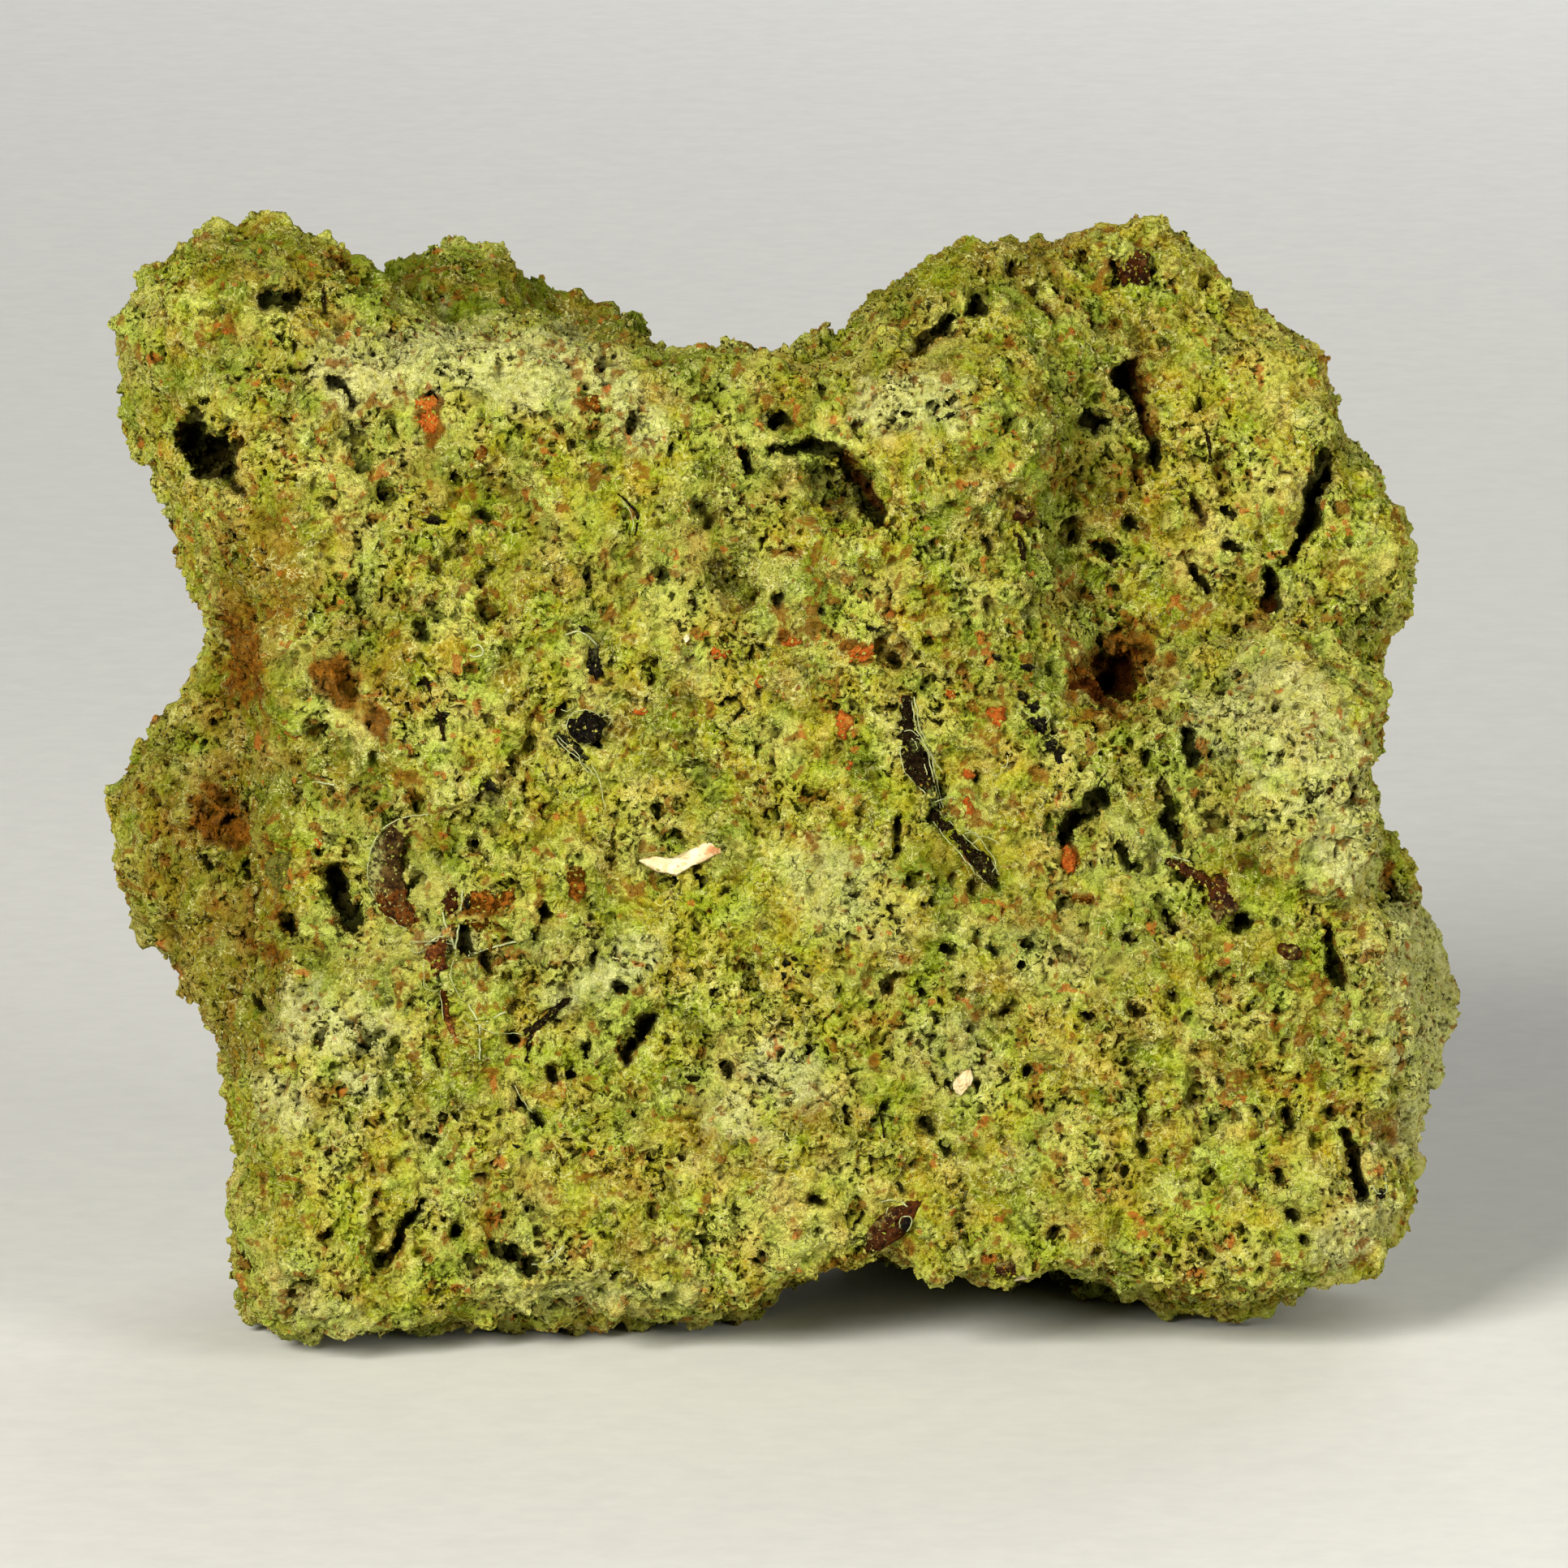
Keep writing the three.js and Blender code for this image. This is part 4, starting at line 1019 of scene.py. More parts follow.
def make_floor():
    """A floor that turns up into a backdrop far behind."""
    profile = [(FLOOR_FRONT, 0.0), (FLOOR_BACK, 0.0)]
    for a in np.linspace(0.1, math.pi / 2, 12):
        profile.append((FLOOR_BACK + BEND * math.sin(a), BEND - BEND * math.cos(a)))
    profile.append((FLOOR_BACK + BEND, WALL_TOP))
    rough = bmesh.new()
    left, right = ([rough.verts.new((x, y, z)) for y, z in profile] for x in (-FLOOR_HALF, FLOOR_HALF))
    for i in range(len(profile) - 1):
        rough.faces.new((left[i], right[i], right[i + 1], left[i + 1]))
    mesh = plain_mesh(rough, "floor")
    smooth_shading(mesh)
    mesh.materials.append(painted_floor())
    piece_from("floor", mesh)


def soft_light(name, azimuth, elevation, distance, side, power, color):
    """A square soft box that faces the specimen."""
    lamp = bpy.data.lights.new(name, "AREA")
    lamp.size = side
    lamp.energy = power
    lamp.color = color
    a, e = math.radians(azimuth), math.radians(elevation)
    away = Vector((math.sin(a) * math.cos(e), -math.cos(a) * math.cos(e), math.sin(e)))
    holder = piece_from(name, lamp)
    holder.location = AIM + away * distance
    holder.rotation_euler = (-away).to_track_quat("-Z", "Y").to_euler()


def make_lights():
    """The soft boxes, and a dim warm light from everywhere."""
    for light in LIGHTS:
        soft_light(*light)
    world = bpy.data.worlds.new("studio")
    world.use_nodes = True
    backing = world.node_tree.nodes["Background"]
    backing.inputs[0].default_value = (0.95, 0.92, 0.82, 1)
    backing.inputs[1].default_value = 0.06
    bpy.context.scene.world = world
    bpy.context.scene.view_settings.view_transform = "Standard"


def make_camera():
    """The camera looks square at the broken face, from far enough to keep its outline true."""
    camera = bpy.data.cameras.new("camera")
    width = IMAGE_SIDE / PIXELS_PER_MM * MM
    camera.lens = camera.sensor_width * CAMERA_DISTANCE / width
    camera.clip_start = 0.01
    holder = piece_from("camera", camera)
    holder.location = place(*FACE_MIDDLE) + Vector(OUT * CAMERA_DISTANCE)
    holder.rotation_euler = Vector(-OUT).to_track_quat("-Z", "Y").to_euler()
    bpy.context.scene.camera = holder


make_camera()
make_lights()
make_floor()

clay = nontronite()
skin = make_lump(clay)
lump_pieces = split_lump(skin, clay)
for piece in lump_pieces:
    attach(piece, "root")
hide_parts("nontronite_mass")

large_crumbs = strew_tree("large_crumbs", 6, 1, 40, clay)
small_crumbs = strew_tree("small_crumbs", 8, 0, 60, clay)
for name, tree, values in (
    ("large_crumbs_a", large_crumbs, strewing(0.9, 0.4, CRUMB_LARGE, 0.1, 101)),
    ("large_crumbs_b", large_crumbs, strewing(0.9, 0.4, CRUMB_LARGE, 0.1, 102)),
    ("small_crumbs_a", small_crumbs, strewing(3.0, 0.5, CRUMB_SMALL, 0.1, 103)),
    ("small_crumbs_b", small_crumbs, strewing(3.0, 0.5, CRUMB_SMALL, 0.1, 104)),
):
    strew(name, skin, tree, values)

# What is lodged in the clay

skin_holder = piece_from("skin_holder", skin)
bpy.context.view_layer.update()
ground = BVHTree.FromObject(skin_holder, bpy.context.evaluated_depsgraph_get())
bpy.data.objects.remove(skin_holder)


def ground_height(u, v, spread=0.25, rank=0.5):
    """The height w of the clay's surface around a place: its median, or its top with a rank of 1."""
    heights = []
    for du in (-spread, 0, spread):
        for dv in (-spread, 0, spread):
            hit = ground.ray_cast(place(u + du, v + dv, 40), Vector(-OUT))[0]
            if hit:
                heights.append(layout(np.array(hit))[2])
    heights.sort()
    return heights[int(rank * (len(heights) - 1))] if heights else 0.0


def joined(name, parts):
    """Several meshes as one."""
    whole = bmesh.new()
    for mesh in parts:
        whole.from_mesh(mesh)
    return plain_mesh(whole, name)


def lodge(name, parts, material, node=None):
    """One lodged piece from its parts, with its finish, hung on the root body; the part of the model that it
    stands for is hidden.
    """
    piece = piece_from(name, parts[0] if len(parts) == 1 else joined(name, parts))
    piece.data.materials.clear()
    piece.data.materials.append(material)
    smooth_shading(piece.data)
    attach(piece, "root")
    if node:
        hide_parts(node)


def grain(u, v, half, turn=0, height=None, seed=1, bumps=0.2, flats=0, stain=(0, 0, 0), ribs=0.0):
    """A rounded or chipped grain. half gives its half sizes along, across and deep in millimetres,
    turn turns it as the viewer sees it, and height lifts its middle above the clay. The stain
    gives the side that is dusted, and ribs the relief of its lengthwise ribs."""
    rough = bmesh.new()
    bmesh.ops.create_icosphere(rough, subdivisions=5 if max(half) > 0.5 else 3, radius=1)
    mesh = plain_mesh(rough, "grain")
    points = positions(mesh)
    rng = np.random.default_rng(seed)
    for facing in rng.normal(size=(flats, 3)):
        facing /= np.linalg.norm(facing)
        over = np.maximum(points @ facing - rng.uniform(0.62, 0.85), 0)
        points -= over[:, None] * facing
    swell = bumps * ripple(points * MM, 0.9, seed) + 0.5 * bumps * ripple(points * MM, 0.32, seed + 1)
    swell += ribs * np.cos(9 * np.arctan2(points[:, 2], points[:, 1]))
    points *= (1 + swell)[:, None]
    store(mesh, "stain", np.clip(points @ np.array(stain), 0, 1))
    points *= np.array(half)
    a = math.radians(turn)
    right = np.array([1.0, 0, 0])
    axes = np.array([math.cos(a) * right + math.sin(a) * UP, math.cos(a) * UP - math.sin(a) * right, OUT])
    w = ground_height(u, v) + (half[2] * 0.35 if height is None else height)
    move_to(mesh, np.array(place(u, v, w)) + points @ axes * MM)
    return mesh


def bits(rows, deep, height, seed, bumps, flats=0, stain=(0, 0, 0)):
    """Small grains, each from its place, its half sizes along and across, and its turn."""
    return [
        grain(u, v, (along, across, deep), turn, height, seed + i, bumps, flats, stain)
        for i, (u, v, along, across, turn) in enumerate(rows)
    ]


def strand_tree():
    """A node tree that makes tubes along curves, each as thick as its points say."""
    tree, given = new_tree("strands", {
        "Curves": "Geometry", "Step": "Float", "Waver": "Float", "Waver size": "Float", "Sides": "Int",
        "Finish": "Material",
    })
    even = add(tree, "GeometryNodeResampleCurve", {
        "Curve": given["Curves"], "Length": given["Step"],
    }, mode="LENGTH")
    per_size = add(tree, "ShaderNodeMath", {0: 1.0, 1: given["Waver size"]}, operation="DIVIDE")
    drift = add(tree, "ShaderNodeTexNoise", {"Scale": per_size, "Detail": 1.0}).outputs[1]
    centred = add(tree, "ShaderNodeVectorMath", {0: drift, 1: (0.5, 0.5, 0.5)}, operation="SUBTRACT")
    offset = add(tree, "ShaderNodeVectorMath", {0: centred, "Scale": given["Waver"]}, operation="SCALE")
    moved = add(tree, "GeometryNodeSetPosition", {"Geometry": even, "Offset": offset})
    ring = add(tree, "GeometryNodeCurvePrimitiveCircle", {"Resolution": given["Sides"], "Radius": 1.0})
    radius = add(tree, "GeometryNodeInputRadius")
    swept = add(tree, "GeometryNodeCurveToMesh", {
        "Curve": moved, "Profile Curve": ring, "Scale": radius, "Fill Caps": True,
    })
    end_tree(tree, swept, given["Finish"])
    return tree


strands = strand_tree()


def tubes(lines, material, step=0.08, waver=0.0, waver_size=0.6, sides=8, squash=1.0, bumps=0.0, seed=1):
    """Tubes that lie on the clay. A line's points give u, v, the height above the clay and the
    radius, all in millimetres."""
    data = bpy.data.curves.new("lines", "CURVE")
    data.dimensions = "3D"
    for line in lines:
        spline = data.splines.new("NURBS")
        spline.points.add(len(line) - 1)
        spline.order_u = 3
        spline.use_endpoint_u = True
        for point, (u, v, height, radius) in zip(spline.points, line):
            point.co = (*place(u, v, ground_height(u, v, 0.12, 0.7) + height), 1)
            point.radius = radius * MM
    mesh = grown(data, strands, {
        "Step": step * MM, "Waver": waver * MM, "Waver size": waver_size * MM, "Sides": sides,
        "Finish": material,
    })
    if bumps:
        points = positions(mesh)
        push_out(mesh, bumps * (ripple(points, 0.35, seed) + 0.6 * ripple(points, 0.16, seed + 1)))
    points = positions(mesh)
    w = points @ OUT
    move_to(mesh, points + ((w.mean() - w) * (1 - squash))[:, None] * OUT)
    store(mesh, "stain", np.zeros(len(points)))
    return mesh


def beside(line, side, reach=0.04, height=0.1):
    """A fungal thread's points, which hug one side of a tube's line."""
    made = []
    for i, (u, v, lift, radius) in enumerate(line):
        before, after = line[max(i - 1, 0)], line[min(i + 1, len(line) - 1)]
        du, dv = after[0] - before[0], after[1] - before[1]
        out = side * (radius + reach) / math.hypot(du, dv)
        made.append((u - dv * out, v + du * out, height))
    return made


def chip(outline, thick, height, seed):
    """A broken chip: its outline as the viewer sees it, its thickness, and its height on the clay."""
    w = ground_height(*np.mean(outline, axis=0), 0.5) + height
    rough = bmesh.new()
    under, over = (
        [rough.verts.new(place(u, v, w + lift)) for u, v in outline] for lift in (-thick / 2, thick / 2)
    )
    rough.faces.new(over)
    rough.faces.new(under[::-1])
    for i in range(len(outline)):
        j = (i + 1) % len(outline)
        rough.faces.new((under[i], under[j], over[j], over[i]))
    bmesh.ops.recalc_face_normals(rough, faces=rough.faces)
    mesh = smoothed(remeshed(plain_mesh(rough, "chip"), 0.06), 3)
    points = positions(mesh)
    push_out(mesh, 0.05 * ripple(points, 0.45, seed) + 0.09 * ripple(points, 1.1, seed + 1))
    return mesh


# Cream chip of old shell: chalky and matt, stained orange at its right end
CREAM_CHIP = [
    (-5.9, 20.9), (-5.0, 20.4), (-4.4, 20.25), (-3.9, 20.6), (-3.2, 20.9), (-2.5, 21.2),
    (-2.45, 21.7), (-3.0, 21.75), (-3.7, 21.35), (-4.5, 21.05), (-5.3, 21.1),
]
chalk = lodged_material("chalky_shell", "#c2ad7c", "#e6dab8", "#b8703a", 0.7, 0.85, 0.2, 0.08)
mesh = chip(CREAM_CHIP, 0.45, 0.28, 5)
u, v, w = layout(positions(mesh))
store(mesh, "stain", np.clip((u + 3.7) / 0.9, 0, 1) * np.clip((21.75 - v) / 0.4, 0, 1))
lodge("cream_shell_chip", [mesh], chalk, "cream_chip")
mesh = grain(7.3, 11.9, (0.55, 0.3, 0.35), 65, None, 6, 0.25, 5, (0.4, 0.3, 0.5))
lodge("cream_shell_grain", [mesh], chalk, "cream_grain")
PALE_BITS = [
    (24.0, 9.3, 0.24, 0.16, 0), (9.8, 3.9, 0.36, 0.17, 30), (-4.0, 30.0, 0.2, 0.15, 60),
    (-11.8, 24.6, 0.2, 0.14, 90),
]
lodge("pale_bits", bits(PALE_BITS, 0.15, None, 50, 0.3, 4), chalk)

# Charred plant bits: brown-black with a dull gloss, dusted with clay
char = lodged_material("charred_plant_matter", "#020101", "#160e08", "#4c4e26", 0.3, 0.5, 0.04, 0.06)
lodge("black_char_grain", [
    grain(-8.12, 26.35, (0.7, 0.62, 0.5), 20, 0.2, 7, 0.3, 4),
    grain(-8.75, 25.5, (0.5, 0.32, 0.2), -35, 0.0, 8, 0.5, 3, (0, 0.4, 0.9)),
    grain(-8.3, 25.05, (0.32, 0.22, 0.16), 10, 0.0, 9, 0.5, 3, (0, 0.4, 0.9)),
    grain(-9.2, 25.9, (0.22, 0.3, 0.16), 10, 0.0, 19, 0.5, 3, (0, 0.4, 0.9)),
], char, "black_grain")
DARK_BITS = [
    (-7.75, 29.0, 0.3, 0.72, -12), (-8.2, 30.4, 0.34, 0.18, -30), (-14.0, 26.9, 0.28, 0.34, 0),
    (-14.3, 34.8, 0.42, 0.16, -8), (-12.1, 24.0, 0.4, 0.18, -38), (9.9, 28.9, 0.3, 0.14, -20),
    (9.7, 27.6, 0.16, 0.3, 20), (10.4, 26.6, 0.28, 0.5, 15), (10.9, 25.7, 0.3, 0.3, 0),
    (10.2, 27.2, 0.2, 0.2, 0), (11.3, 25.1, 0.22, 0.4, -20), (8.7, 29.2, 0.2, 0.14, 0),
    (0.1, 16.7, 0.2, 0.14, 10), (0.5, 16.4, 0.24, 0.13, -25), (0.9, 16.6, 0.16, 0.12, 40),
    (0.4, 16.9, 0.13, 0.1, 0), (0.9, 16.2, 0.18, 0.1, 10), (0.0, 16.2, 0.12, 0.16, 0),
    (-0.3, 16.5, 0.1, 0.08, 0), (3.6, 30.4, 0.3, 0.12, -20), (-12.9, 19.2, 0.16, 0.3, 10),
    (24.4, 7.3, 0.2, 0.2, 0), (-11.0, 9.2, 0.16, 0.1, 0), (-1.0, 12.0, 0.3, 0.1, 15),
    (6.6, 39.0, 0.4, 0.12, 25),
]
# Painted shade: a dark grain that stands for the shadowed hollow in the middle of the seed husk
husk_hollow_shade = grain(5.0, 6.05, (0.2, 0.3, 0.08), -18, 0.62, 95, 0.15)
dark_grains = bits(DARK_BITS, 0.18, 0.0, 70, 0.55, 3, (0.2, 0.5, 0.3))
lodge("dark_bits", dark_grains + [husk_hollow_shade], char)

# Olive nodule: clay packed hard and smooth, with an orange heart
olive = lodged_material("packed_olive_clay", "#2e2e06", "#6c6a2c", "#8a642a", 0.5, 0.9, 0.04, 0.1)
mesh = grain(-20.45, 20.4, (0.82, 0.76, 0.5), 0, 0.05, 10, 0.22, 2, (0.3, -0.35, 0.45))
lodge("olive_nodule", [mesh], olive, "grey_green_grain")

# Iron oxide grains: crumbly and matt, dark brown with ochre powder
ochre = lodged_material("crumbly_iron_oxide", "#2a1000", "#5e3c0a", "#8c5218", 0.5, 0.95, 0.02, 0.1)
mesh = grain(-8.5, 19.9, (0.4, 0.6, 0.3), 0, 0.0, 11, 0.45, 2, (0.3, -0.6, 0.5))
lodge("iron_oxide_grain", [mesh], ochre, "rust_grain")
OXIDE_BITS = [
    (-12.45, 19.0, 0.5, 0.75, 10), (-11.55, 19.05, 0.5, 0.6, -25), (-7.9, 39.5, 0.3, 0.4, 0),
    (-12.4, 37.5, 0.26, 0.3, 0), (12.3, 19.35, 0.32, 0.16, -8),
]
lodge("oxide_bits", bits(OXIDE_BITS, 0.16, -0.04, 110, 0.5, 0, (0.3, 0.2, 0.5)), ochre)

# Spots of loose iron oxide powder: matt and orange-brown, with clay among it
powder = lodged_material("iron_oxide_powder", "#702e0a", "#b45e22", "#9c742e", 0.3, 0.95, 0.02, 0.06)
POWDER_SPOTS = [
    (3.0, 29.35, 0.52, 0.34, 35), (2.3, 26.45, 0.42, 0.5, 0), (8.6, 26.8, 0.34, 0.44, 0),
    (11.5, 21.0, 0.5, 0.48, 0), (-14.5, 39.0, 0.5, 0.66, 0), (-2.5, 29.4, 0.3, 0.26, 0),
    (0.3, 29.8, 0.36, 0.22, 10), (7.55, 24.45, 0.22, 0.24, 0), (7.5, 23.0, 0.18, 0.38, 0),
    (-0.9, 28.2, 0.22, 0.24, 0), (2.6, 24.8, 0.16, 0.16, 0), (6.8, 27.7, 0.2, 0.18, 0),
    (-19.1, 21.6, 0.3, 0.16, -40), (-5.9, 27.0, 0.26, 0.16, 0),
]
lodge("powder_spots", bits(POWDER_SPOTS, 0.14, 0.0, 130, 0.6, 0, (0.3, 0.2, 0.3)), powder)

# Seed coats and husks: leathery, brown with a dull gloss, paler and dusty at their rims
leather = lodged_material("leathery_seed_coat", "#140500", "#4c2608", "#8a7e44", 0.5, 0.6, 0.05, 0.08)
mesh = grain(4.5, 6.05, (1.35, 0.58, 0.5), 43, 0.22, 12, 0.14, 0, (-0.2, 0.55, 0.0), 0.05)
lodge("brown_seed_husk", [mesh], leather, "seed_husk")
mesh = grain(14.5, 45.3, (0.6, 0.85, 0.6), -10, 0.1, 13, 0.4, 3, (0.2, 0.3, 0.1))
lodge("brown_husk_lump", [mesh], leather, "brown_lump")
STRIP = [
    (15.6, 20.9, 0.05, 0.14), (16.3, 20.6, 0.06, 0.24), (17.0, 20.2, 0.06, 0.28), (17.5, 19.9, 0.05, 0.2),
]
strip = tubes([STRIP], leather, bumps=0.08, sides=12, seed=3)
flake = grain(17.85, 19.3, (0.5, 0.95, 0.3), 8, 0.05, 14, 0.5, 3, (-0.1, -0.7, 0.2))
lodge("brown_husk_bit", [flake, strip], leather, "brown_bit")
lodge("small_husks", [
    grain(20.7, 17.2, (0.52, 0.33, 0.3), -18, 0.08, 15, 0.12, 0, (0, 0, 0.5)),
    grain(-13.65, 19.2, (0.44, 0.62, 0.35), 8, 0.12, 16, 0.25, 1, (0, 0.2, 0.1)),
    grain(9.4, 4.25, (0.75, 0.32, 0.3), 5, 0.1, 17, 0.3, 1, (0, 0.5, 0.3)),
    grain(9.6, 35.1, (0.5, 0.42, 0.3), 20, 0.0, 18, 0.4, 1, (0.2, 0.3, 0.5)),
], leather)
HUSK_LINE = [
    (-14.5, 22.55, 0.05, 0.2), (-15.4, 22.35, 0.08, 0.4), (-16.1, 21.8, 0.1, 0.55),
    (-16.35, 20.9, 0.12, 0.68), (-16.3, 20.0, 0.12, 0.7), (-15.95, 19.1, 0.1, 0.62), (-15.2, 18.3, 0.03, 0.3),
]
plum = lodged_material(
    "weathered_seed_coat", "#180a04", "#5e4822", "#989858", 0.55, 0.7, 0.03, 0.1, "#5a2e08",
)
mesh = tubes([HUSK_LINE], plum, squash=0.65, bumps=0.12, sides=20, seed=4)
u, v, w = layout(positions(mesh))
store(mesh, "stain", np.clip((-16.1 - u) / 0.7, 0, 1) * np.clip((v - 18.8) / 0.8, 0.2, 1))
store(mesh, "warm", np.clip((20.3 - v) / 1.0, 0, 1))
lodge("curved_husk", [mesh], plum, "husk_crescent")

# Rootlets: dried and matt, black to rust-brown, wrinkled along their length
root = lodged_material("dried_black_rootlet", "#050201", "#261a0b", "#687036", 0.35, 0.75, 0.02, 0.06)
ROOT_UPPER = [
    (5.03, 27.6, 0.05, 0.14), (5.05, 26.9, 0.12, 0.25), (5.1, 26.2, 0.14, 0.27), (5.25, 25.6, 0.12, 0.52),
    (5.4, 24.8, 0.12, 0.56), (5.75, 24.2, 0.08, 0.36), (6.05, 23.6, 0.0, 0.14), (6.25, 23.0, 0.0, 0.12),
]
mesh = tubes([ROOT_UPPER], root, squash=0.7, bumps=0.14, sides=16, seed=5)
u, v, w = layout(positions(mesh))
joint = np.clip(1 - np.hypot(u - 5.35, v - 25.6) / 0.45, 0, 1)
store(mesh, "stain", np.maximum(joint, np.clip((24.1 - v) / 0.4, 0, 0.8)))
lodge("black_root_upper", [mesh], root, "root_upper")
ROOT_LOWER = [
    (6.2, 22.75, 0.05, 0.16), (6.6, 22.25, 0.1, 0.28), (7.2, 21.65, 0.08, 0.24), (7.8, 21.0, 0.1, 0.3),
    (8.25, 20.55, 0.12, 0.42), (8.6, 20.15, 0.05, 0.2),
]
mesh = tubes([ROOT_LOWER], root, squash=0.75, bumps=0.13, sides=14, seed=6)
u, v, w = layout(positions(mesh))
store(mesh, "stain", 0.3 * np.clip((21.6 - v) / 1.0, 0, 1))
lodge("black_root_lower", [mesh], root, "root_lower")
rusted = lodged_material("rust_stained_rootlet", "#1c0600", "#5a2c06", "#96602a", 0.4, 0.5, 0.06, 0.05)
RUSTY_STRAND = [
    (-13.9, 15.6, 0.0, 0.13), (-13.87, 15.0, 0.08, 0.16), (-13.7, 14.2, 0.08, 0.16),
    (-13.35, 13.5, 0.0, 0.09),
]
strand = tubes([RUSTY_STRAND], rusted, bumps=0.04, seed=7)
u, v, w = layout(positions(strand))
store(strand, "stain", np.clip((14.7 - v) / 0.6, 0, 1))
chunk = grain(-14.12, 16.8, (0.4, 0.66, 0.34), -6, 0.16, 23, 0.4, 4, (0, 0.1, 0.5), 0.06)
lodge("rust_rootlet_strand", [strand, chunk], rusted, "rust_rootlet")
TWIG = [
    [(-8.7, 15.3, 0.1, 0.07), (-9.2, 14.95, 0.12, 0.16), (-9.7, 14.45, 0.12, 0.14), (-10.2, 14.05, 0.1, 0.2),
     (-10.6, 13.85, 0.03, 0.12)],
    [(-10.3, 14.05, 0.06, 0.14), (-10.42, 13.4, 0.06, 0.12), (-10.5, 12.7, 0.0, 0.06)],
]
lodge("dark_twig", [tubes(TWIG, root, bumps=0.06, seed=8)], root, "twig")
FINE_ROOTLETS = [
    [(-18.9, 44.4, 0.05, 0.06), (-18.9, 43.9, 0.15, 0.1), (-18.8, 43.3, 0.05, 0.06)],
    [(-14.7, 28.4, 0.0, 0.05), (-14.4, 27.7, 0.06, 0.08), (-14.0, 26.9, 0.08, 0.12),
     (-13.9, 25.8, 0.0, 0.07)],
    [(9.5, 34.3, 0.0, 0.1), (9.8, 33.8, 0.06, 0.2), (9.75, 33.2, 0.0, 0.12)],
    [(-6.8, 35.9, 0.02, 0.04), (-6.2, 35.4, 0.1, 0.06), (-5.9, 34.9, 0.1, 0.07), (-6.1, 34.2, 0.0, 0.04)],
    [(-19.9, 24.35, 0.02, 0.03), (-19.2, 24.5, 0.06, 0.05), (-18.5, 24.2, 0.0, 0.03)],
    [(3.9, 10.7, 0.02, 0.03), (4.1, 9.6, 0.06, 0.04)],
    [(-4.6, 40.9, 0.0, 0.05), (-4.3, 40.4, 0.06, 0.08), (-4.4, 39.9, 0.0, 0.04)],
    [(17.3, 38.6, 0.0, 0.06), (17.6, 37.9, 0.06, 0.08), (17.5, 37.2, 0.0, 0.05)],
]
lodge("fine_rootlets", [tubes(FINE_ROOTLETS, root, bumps=0.03, seed=9)], root)

# Fungal threads: hair-fine, pale and slightly glossy. The hairs hug what they grow on.
thread = lodged_material("pale_fungal_thread", "#868c5c", "#bcc08c", "#c8c8a8", 0.5, 0.6, 0.2, 0.01)
HAIR = 0.02
FIBRE = 0.045
FIBRES = [
    [(-12.9, 15.0), (-12.65, 14.6), (-12.4, 14.15)],
    [(-11.4, 14.7), (-11.9, 14.45), (-12.4, 14.15)],
    [(-12.4, 14.15), (-12.45, 13.6), (-12.4, 12.8)],
    [(-12.9, 17.0), (-12.2, 17.3), (-11.4, 17.5), (-10.7, 17.6), (-10.3, 17.9)],
    [(-14.0, 19.1), (-13.95, 18.5), (-13.65, 17.9), (-13.45, 17.2)],
    [(-13.15, 19.7), (-13.2, 18.9), (-13.35, 18.2), (-13.45, 17.2)],
    [(-14.8, 17.3), (-14.3, 17.75), (-13.9, 17.8), (-13.5, 17.5)],
    [(-8.9, 30.1), (-8.4, 30.35), (-7.9, 30.0), (-7.6, 29.7)],
    [(4.0, 6.9), (4.35, 7.1), (4.8, 6.95), (5.1, 6.65)],
    [(-12.8, 29.6), (-12.5, 29.8), (-12.2, 29.5), (-12.4, 29.2), (-12.8, 29.3)],
    [(-19.9, 24.1), (-19.2, 24.2), (-18.4, 24.0)],
    [(15.3, 20.8), (15.4, 21.05), (16.0, 21.1), (16.6, 20.85)],
    [(24.6, 8.0), (24.8, 7.4), (24.3, 7.1), (24.1, 7.6)],
    [(-9.0, 5.2), (-9.4, 4.6), (-9.9, 4.4), (-10.3, 4.3)],
]
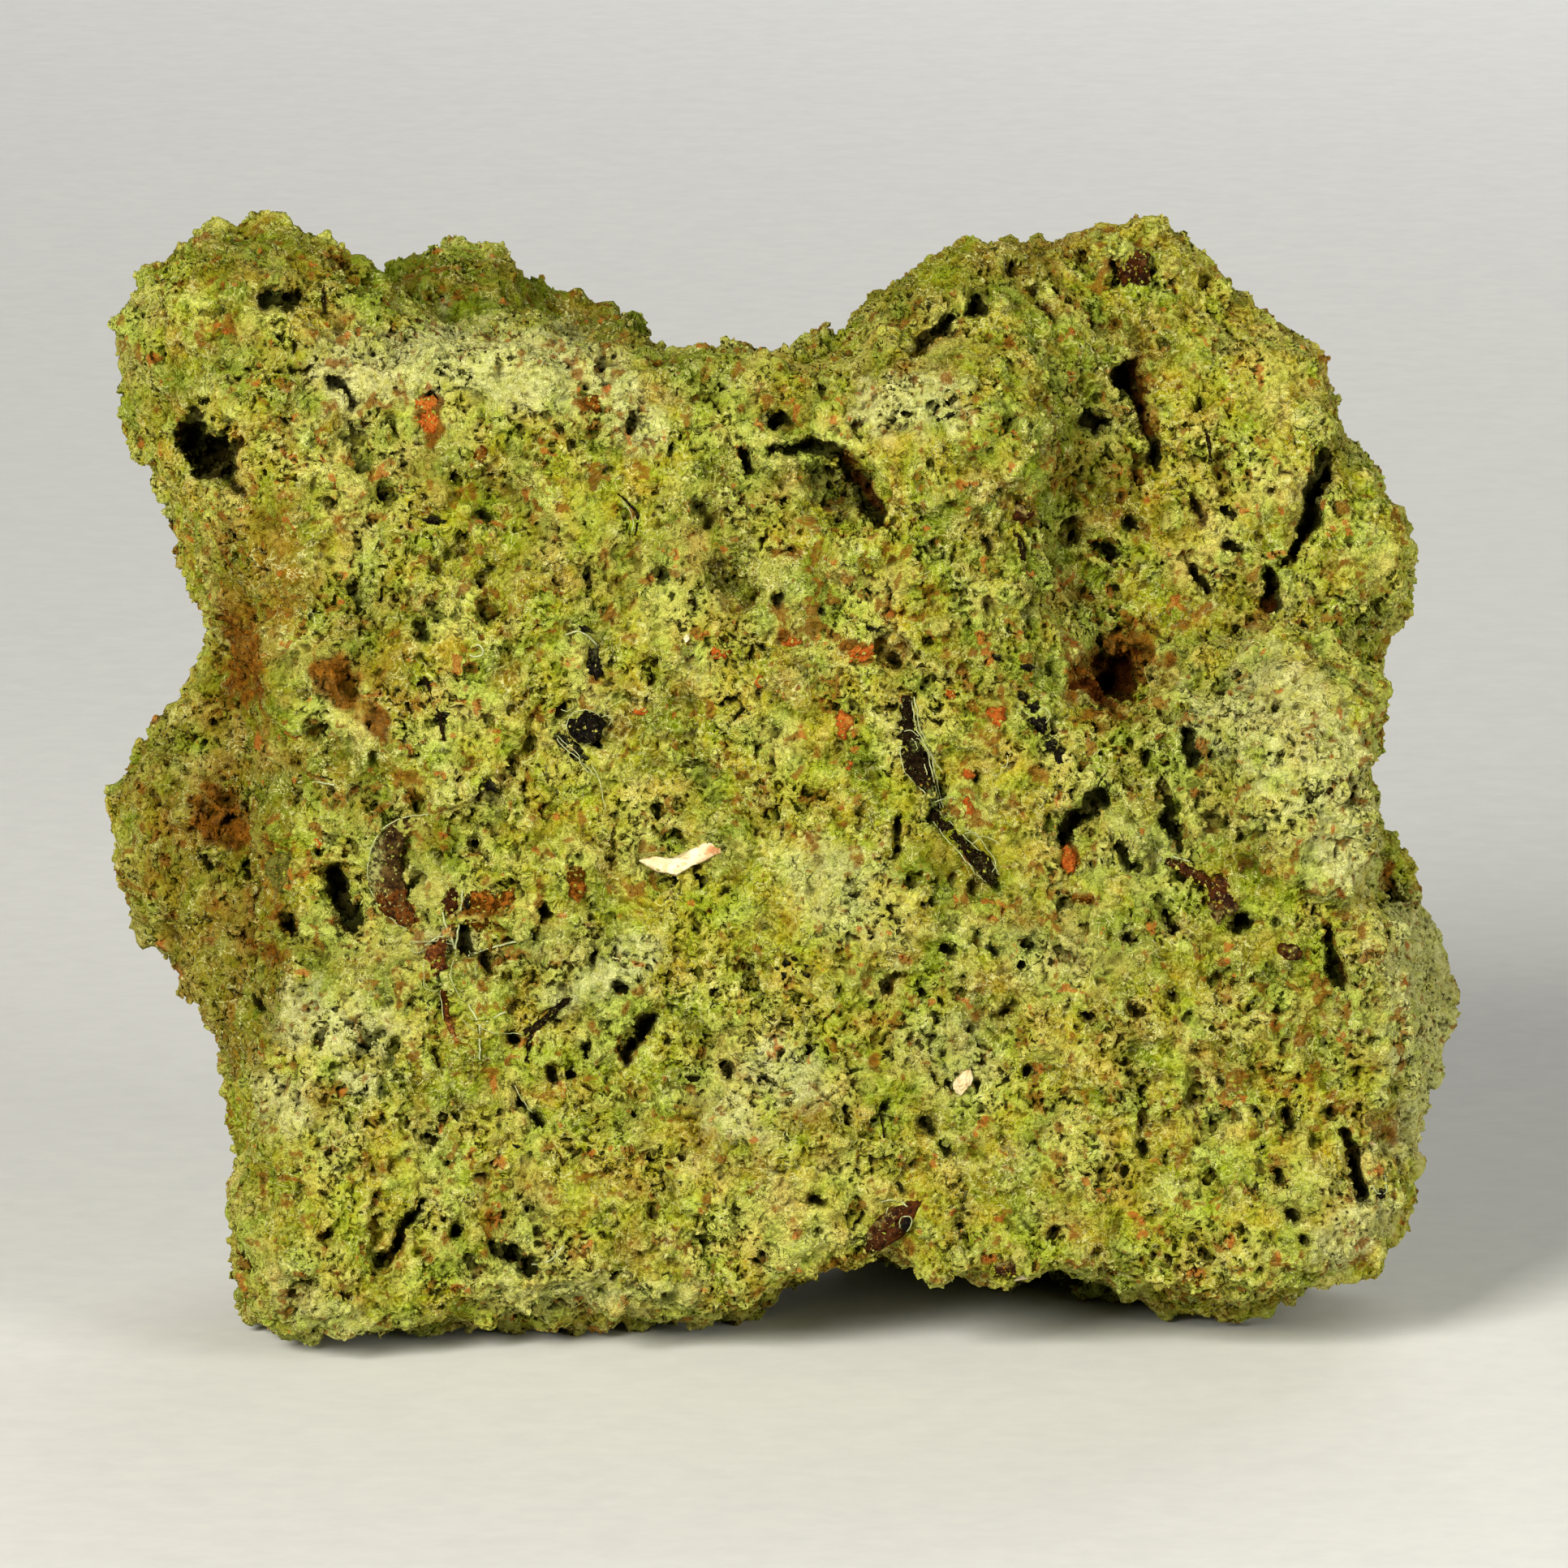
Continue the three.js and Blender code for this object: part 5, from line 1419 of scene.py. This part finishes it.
HAIRS = [
    [(-8.9, 26.3), (-8.85, 26.8), (-8.3, 27.1), (-7.6, 26.95), (-7.35, 26.4), (-7.55, 25.85), (-8.1, 25.65)],
    [(-7.5, 26.7), (-7.15, 26.9), (-6.95, 26.6), (-7.2, 26.45)],
    [(-9.1, 27.1), (-8.8, 26.9), (-8.6, 27.15)],
    [(-9.3, 25.9), (-8.9, 25.4), (-8.5, 25.2), (-8.1, 24.7), (-7.7, 24.4)],
    [(5.2, 25.9), (5.55, 25.5), (5.35, 25.1), (5.75, 24.9), (5.85, 24.4)],
    [(4.9, 26.2), (5.3, 26.3), (5.5, 26.0)],
    [(7.4, 22.0), (7.75, 22.15), (8.05, 21.8), (7.7, 21.6)],
    [(8.1, 20.9), (8.5, 20.7), (8.2, 20.4)],
    [(3.75, 5.2), (3.9, 6.0), (4.3, 6.7)],
    [(-6.6, 35.6), (-6.0, 34.9), (-6.2, 34.4)],
    [(-11.0, 11.7), (-10.8, 11.2), (-10.3, 10.6)],
    [(-14.05, 15.6), (-14.0, 15.0), (-13.95, 14.4)],
    [(-14.65, 16.8), (-14.75, 16.1), (-14.6, 15.5), (-14.15, 15.6)],
    [(-13.4, 17.2), (-13.65, 16.4), (-13.5, 15.7), (-13.2, 15.3)],
    [(-12.9, 17.2), (-12.5, 16.8), (-12.6, 16.2)],
    [(-13.2, 14.5), (-12.9, 14.1), (-12.5, 13.95)],
    [(-12.4, 14.1), (-11.8, 13.8), (-11.2, 13.9), (-10.7, 13.8)],
    [(-15.3, 17.6), (-14.8, 17.5), (-14.1, 17.7), (-13.4, 17.4)],
    [(-15.3, 17.3), (-15.0, 17.0), (-14.6, 17.3)],
    [(4.9, 26.0), (5.7, 25.9), (5.9, 25.3), (6.45, 24.55)],
    [(6.15, 23.3), (6.7, 23.55), (7.0, 23.45)],
    [(7.35, 22.2), (7.9, 22.0), (8.35, 21.3), (8.8, 20.7), (8.4, 20.3)],
    [(7.9, 21.9), (8.55, 21.9), (8.8, 21.55)],
    [(9.1, 25.2), (9.2, 24.5), (8.9, 24.8)],
    [(10.45, 27.0), (10.6, 27.2), (10.85, 27.0), (10.9, 26.7), (10.7, 26.5)],
    [(-7.85, 26.75), (-7.4, 26.65), (-7.3, 26.85)],
    [(-9.25, 26.0), (-8.85, 25.6), (-8.4, 25.3), (-8.3, 24.8), (-8.0, 24.5)],
    [(-7.85, 24.8), (-7.5, 24.25), (-7.4, 23.5), (-7.3, 23.0)],
]
HUSK_LOOP = [(4.72, 6.1), (4.8, 5.72), (5.1, 5.75), (5.28, 6.12), (5.1, 6.4), (4.8, 6.35), (4.72, 6.1)]
hugging = [beside(ROOT_UPPER, side, reach) for side, reach in ((1, 0.02), (-1, 0.02), (1, 0.16))]
hugging += [beside(ROOT_LOWER, side) for side in (1, -1)]
hugging += [beside(HUSK_LINE, -1, 0.03), [(u, v, 0.66) for u, v in HUSK_LOOP]]
lines = [[(u, v, 0.06, FIBRE) for u, v in line] for line in FIBRES]
lines += [[(u, v, 0.3, HAIR) for u, v in line] for line in HAIRS]
lines += [[(u, v, height, HAIR * 1.3) for u, v, height in line] for line in hugging]
threads = tubes(lines, thread, waver=0.16, waver_size=0.4, sides=5)
lodge("fungal_threads", [threads], thread)

# How many clay crumbs cling to a square millimetre of a lodged piece
DUSTED = {
    "black_char_grain": 3, "olive_nodule": 8, "iron_oxide_grain": 7, "oxide_bits": 10, "powder_spots": 9,
    "brown_seed_husk": 4, "brown_husk_lump": 8, "brown_husk_bit": 7, "small_husks": 6, "curved_husk": 3,
    "black_root_upper": 2, "black_root_lower": 2, "rust_rootlet_strand": 4, "dark_twig": 3,
    "cream_shell_chip": 0.8,
}
for name, density in DUSTED.items():
    values = strewing(0, density, CLINGING_CRUMB, 0.2, 120)
    strew(name + "_dust", bpy.data.objects[name].data, small_crumbs, values)
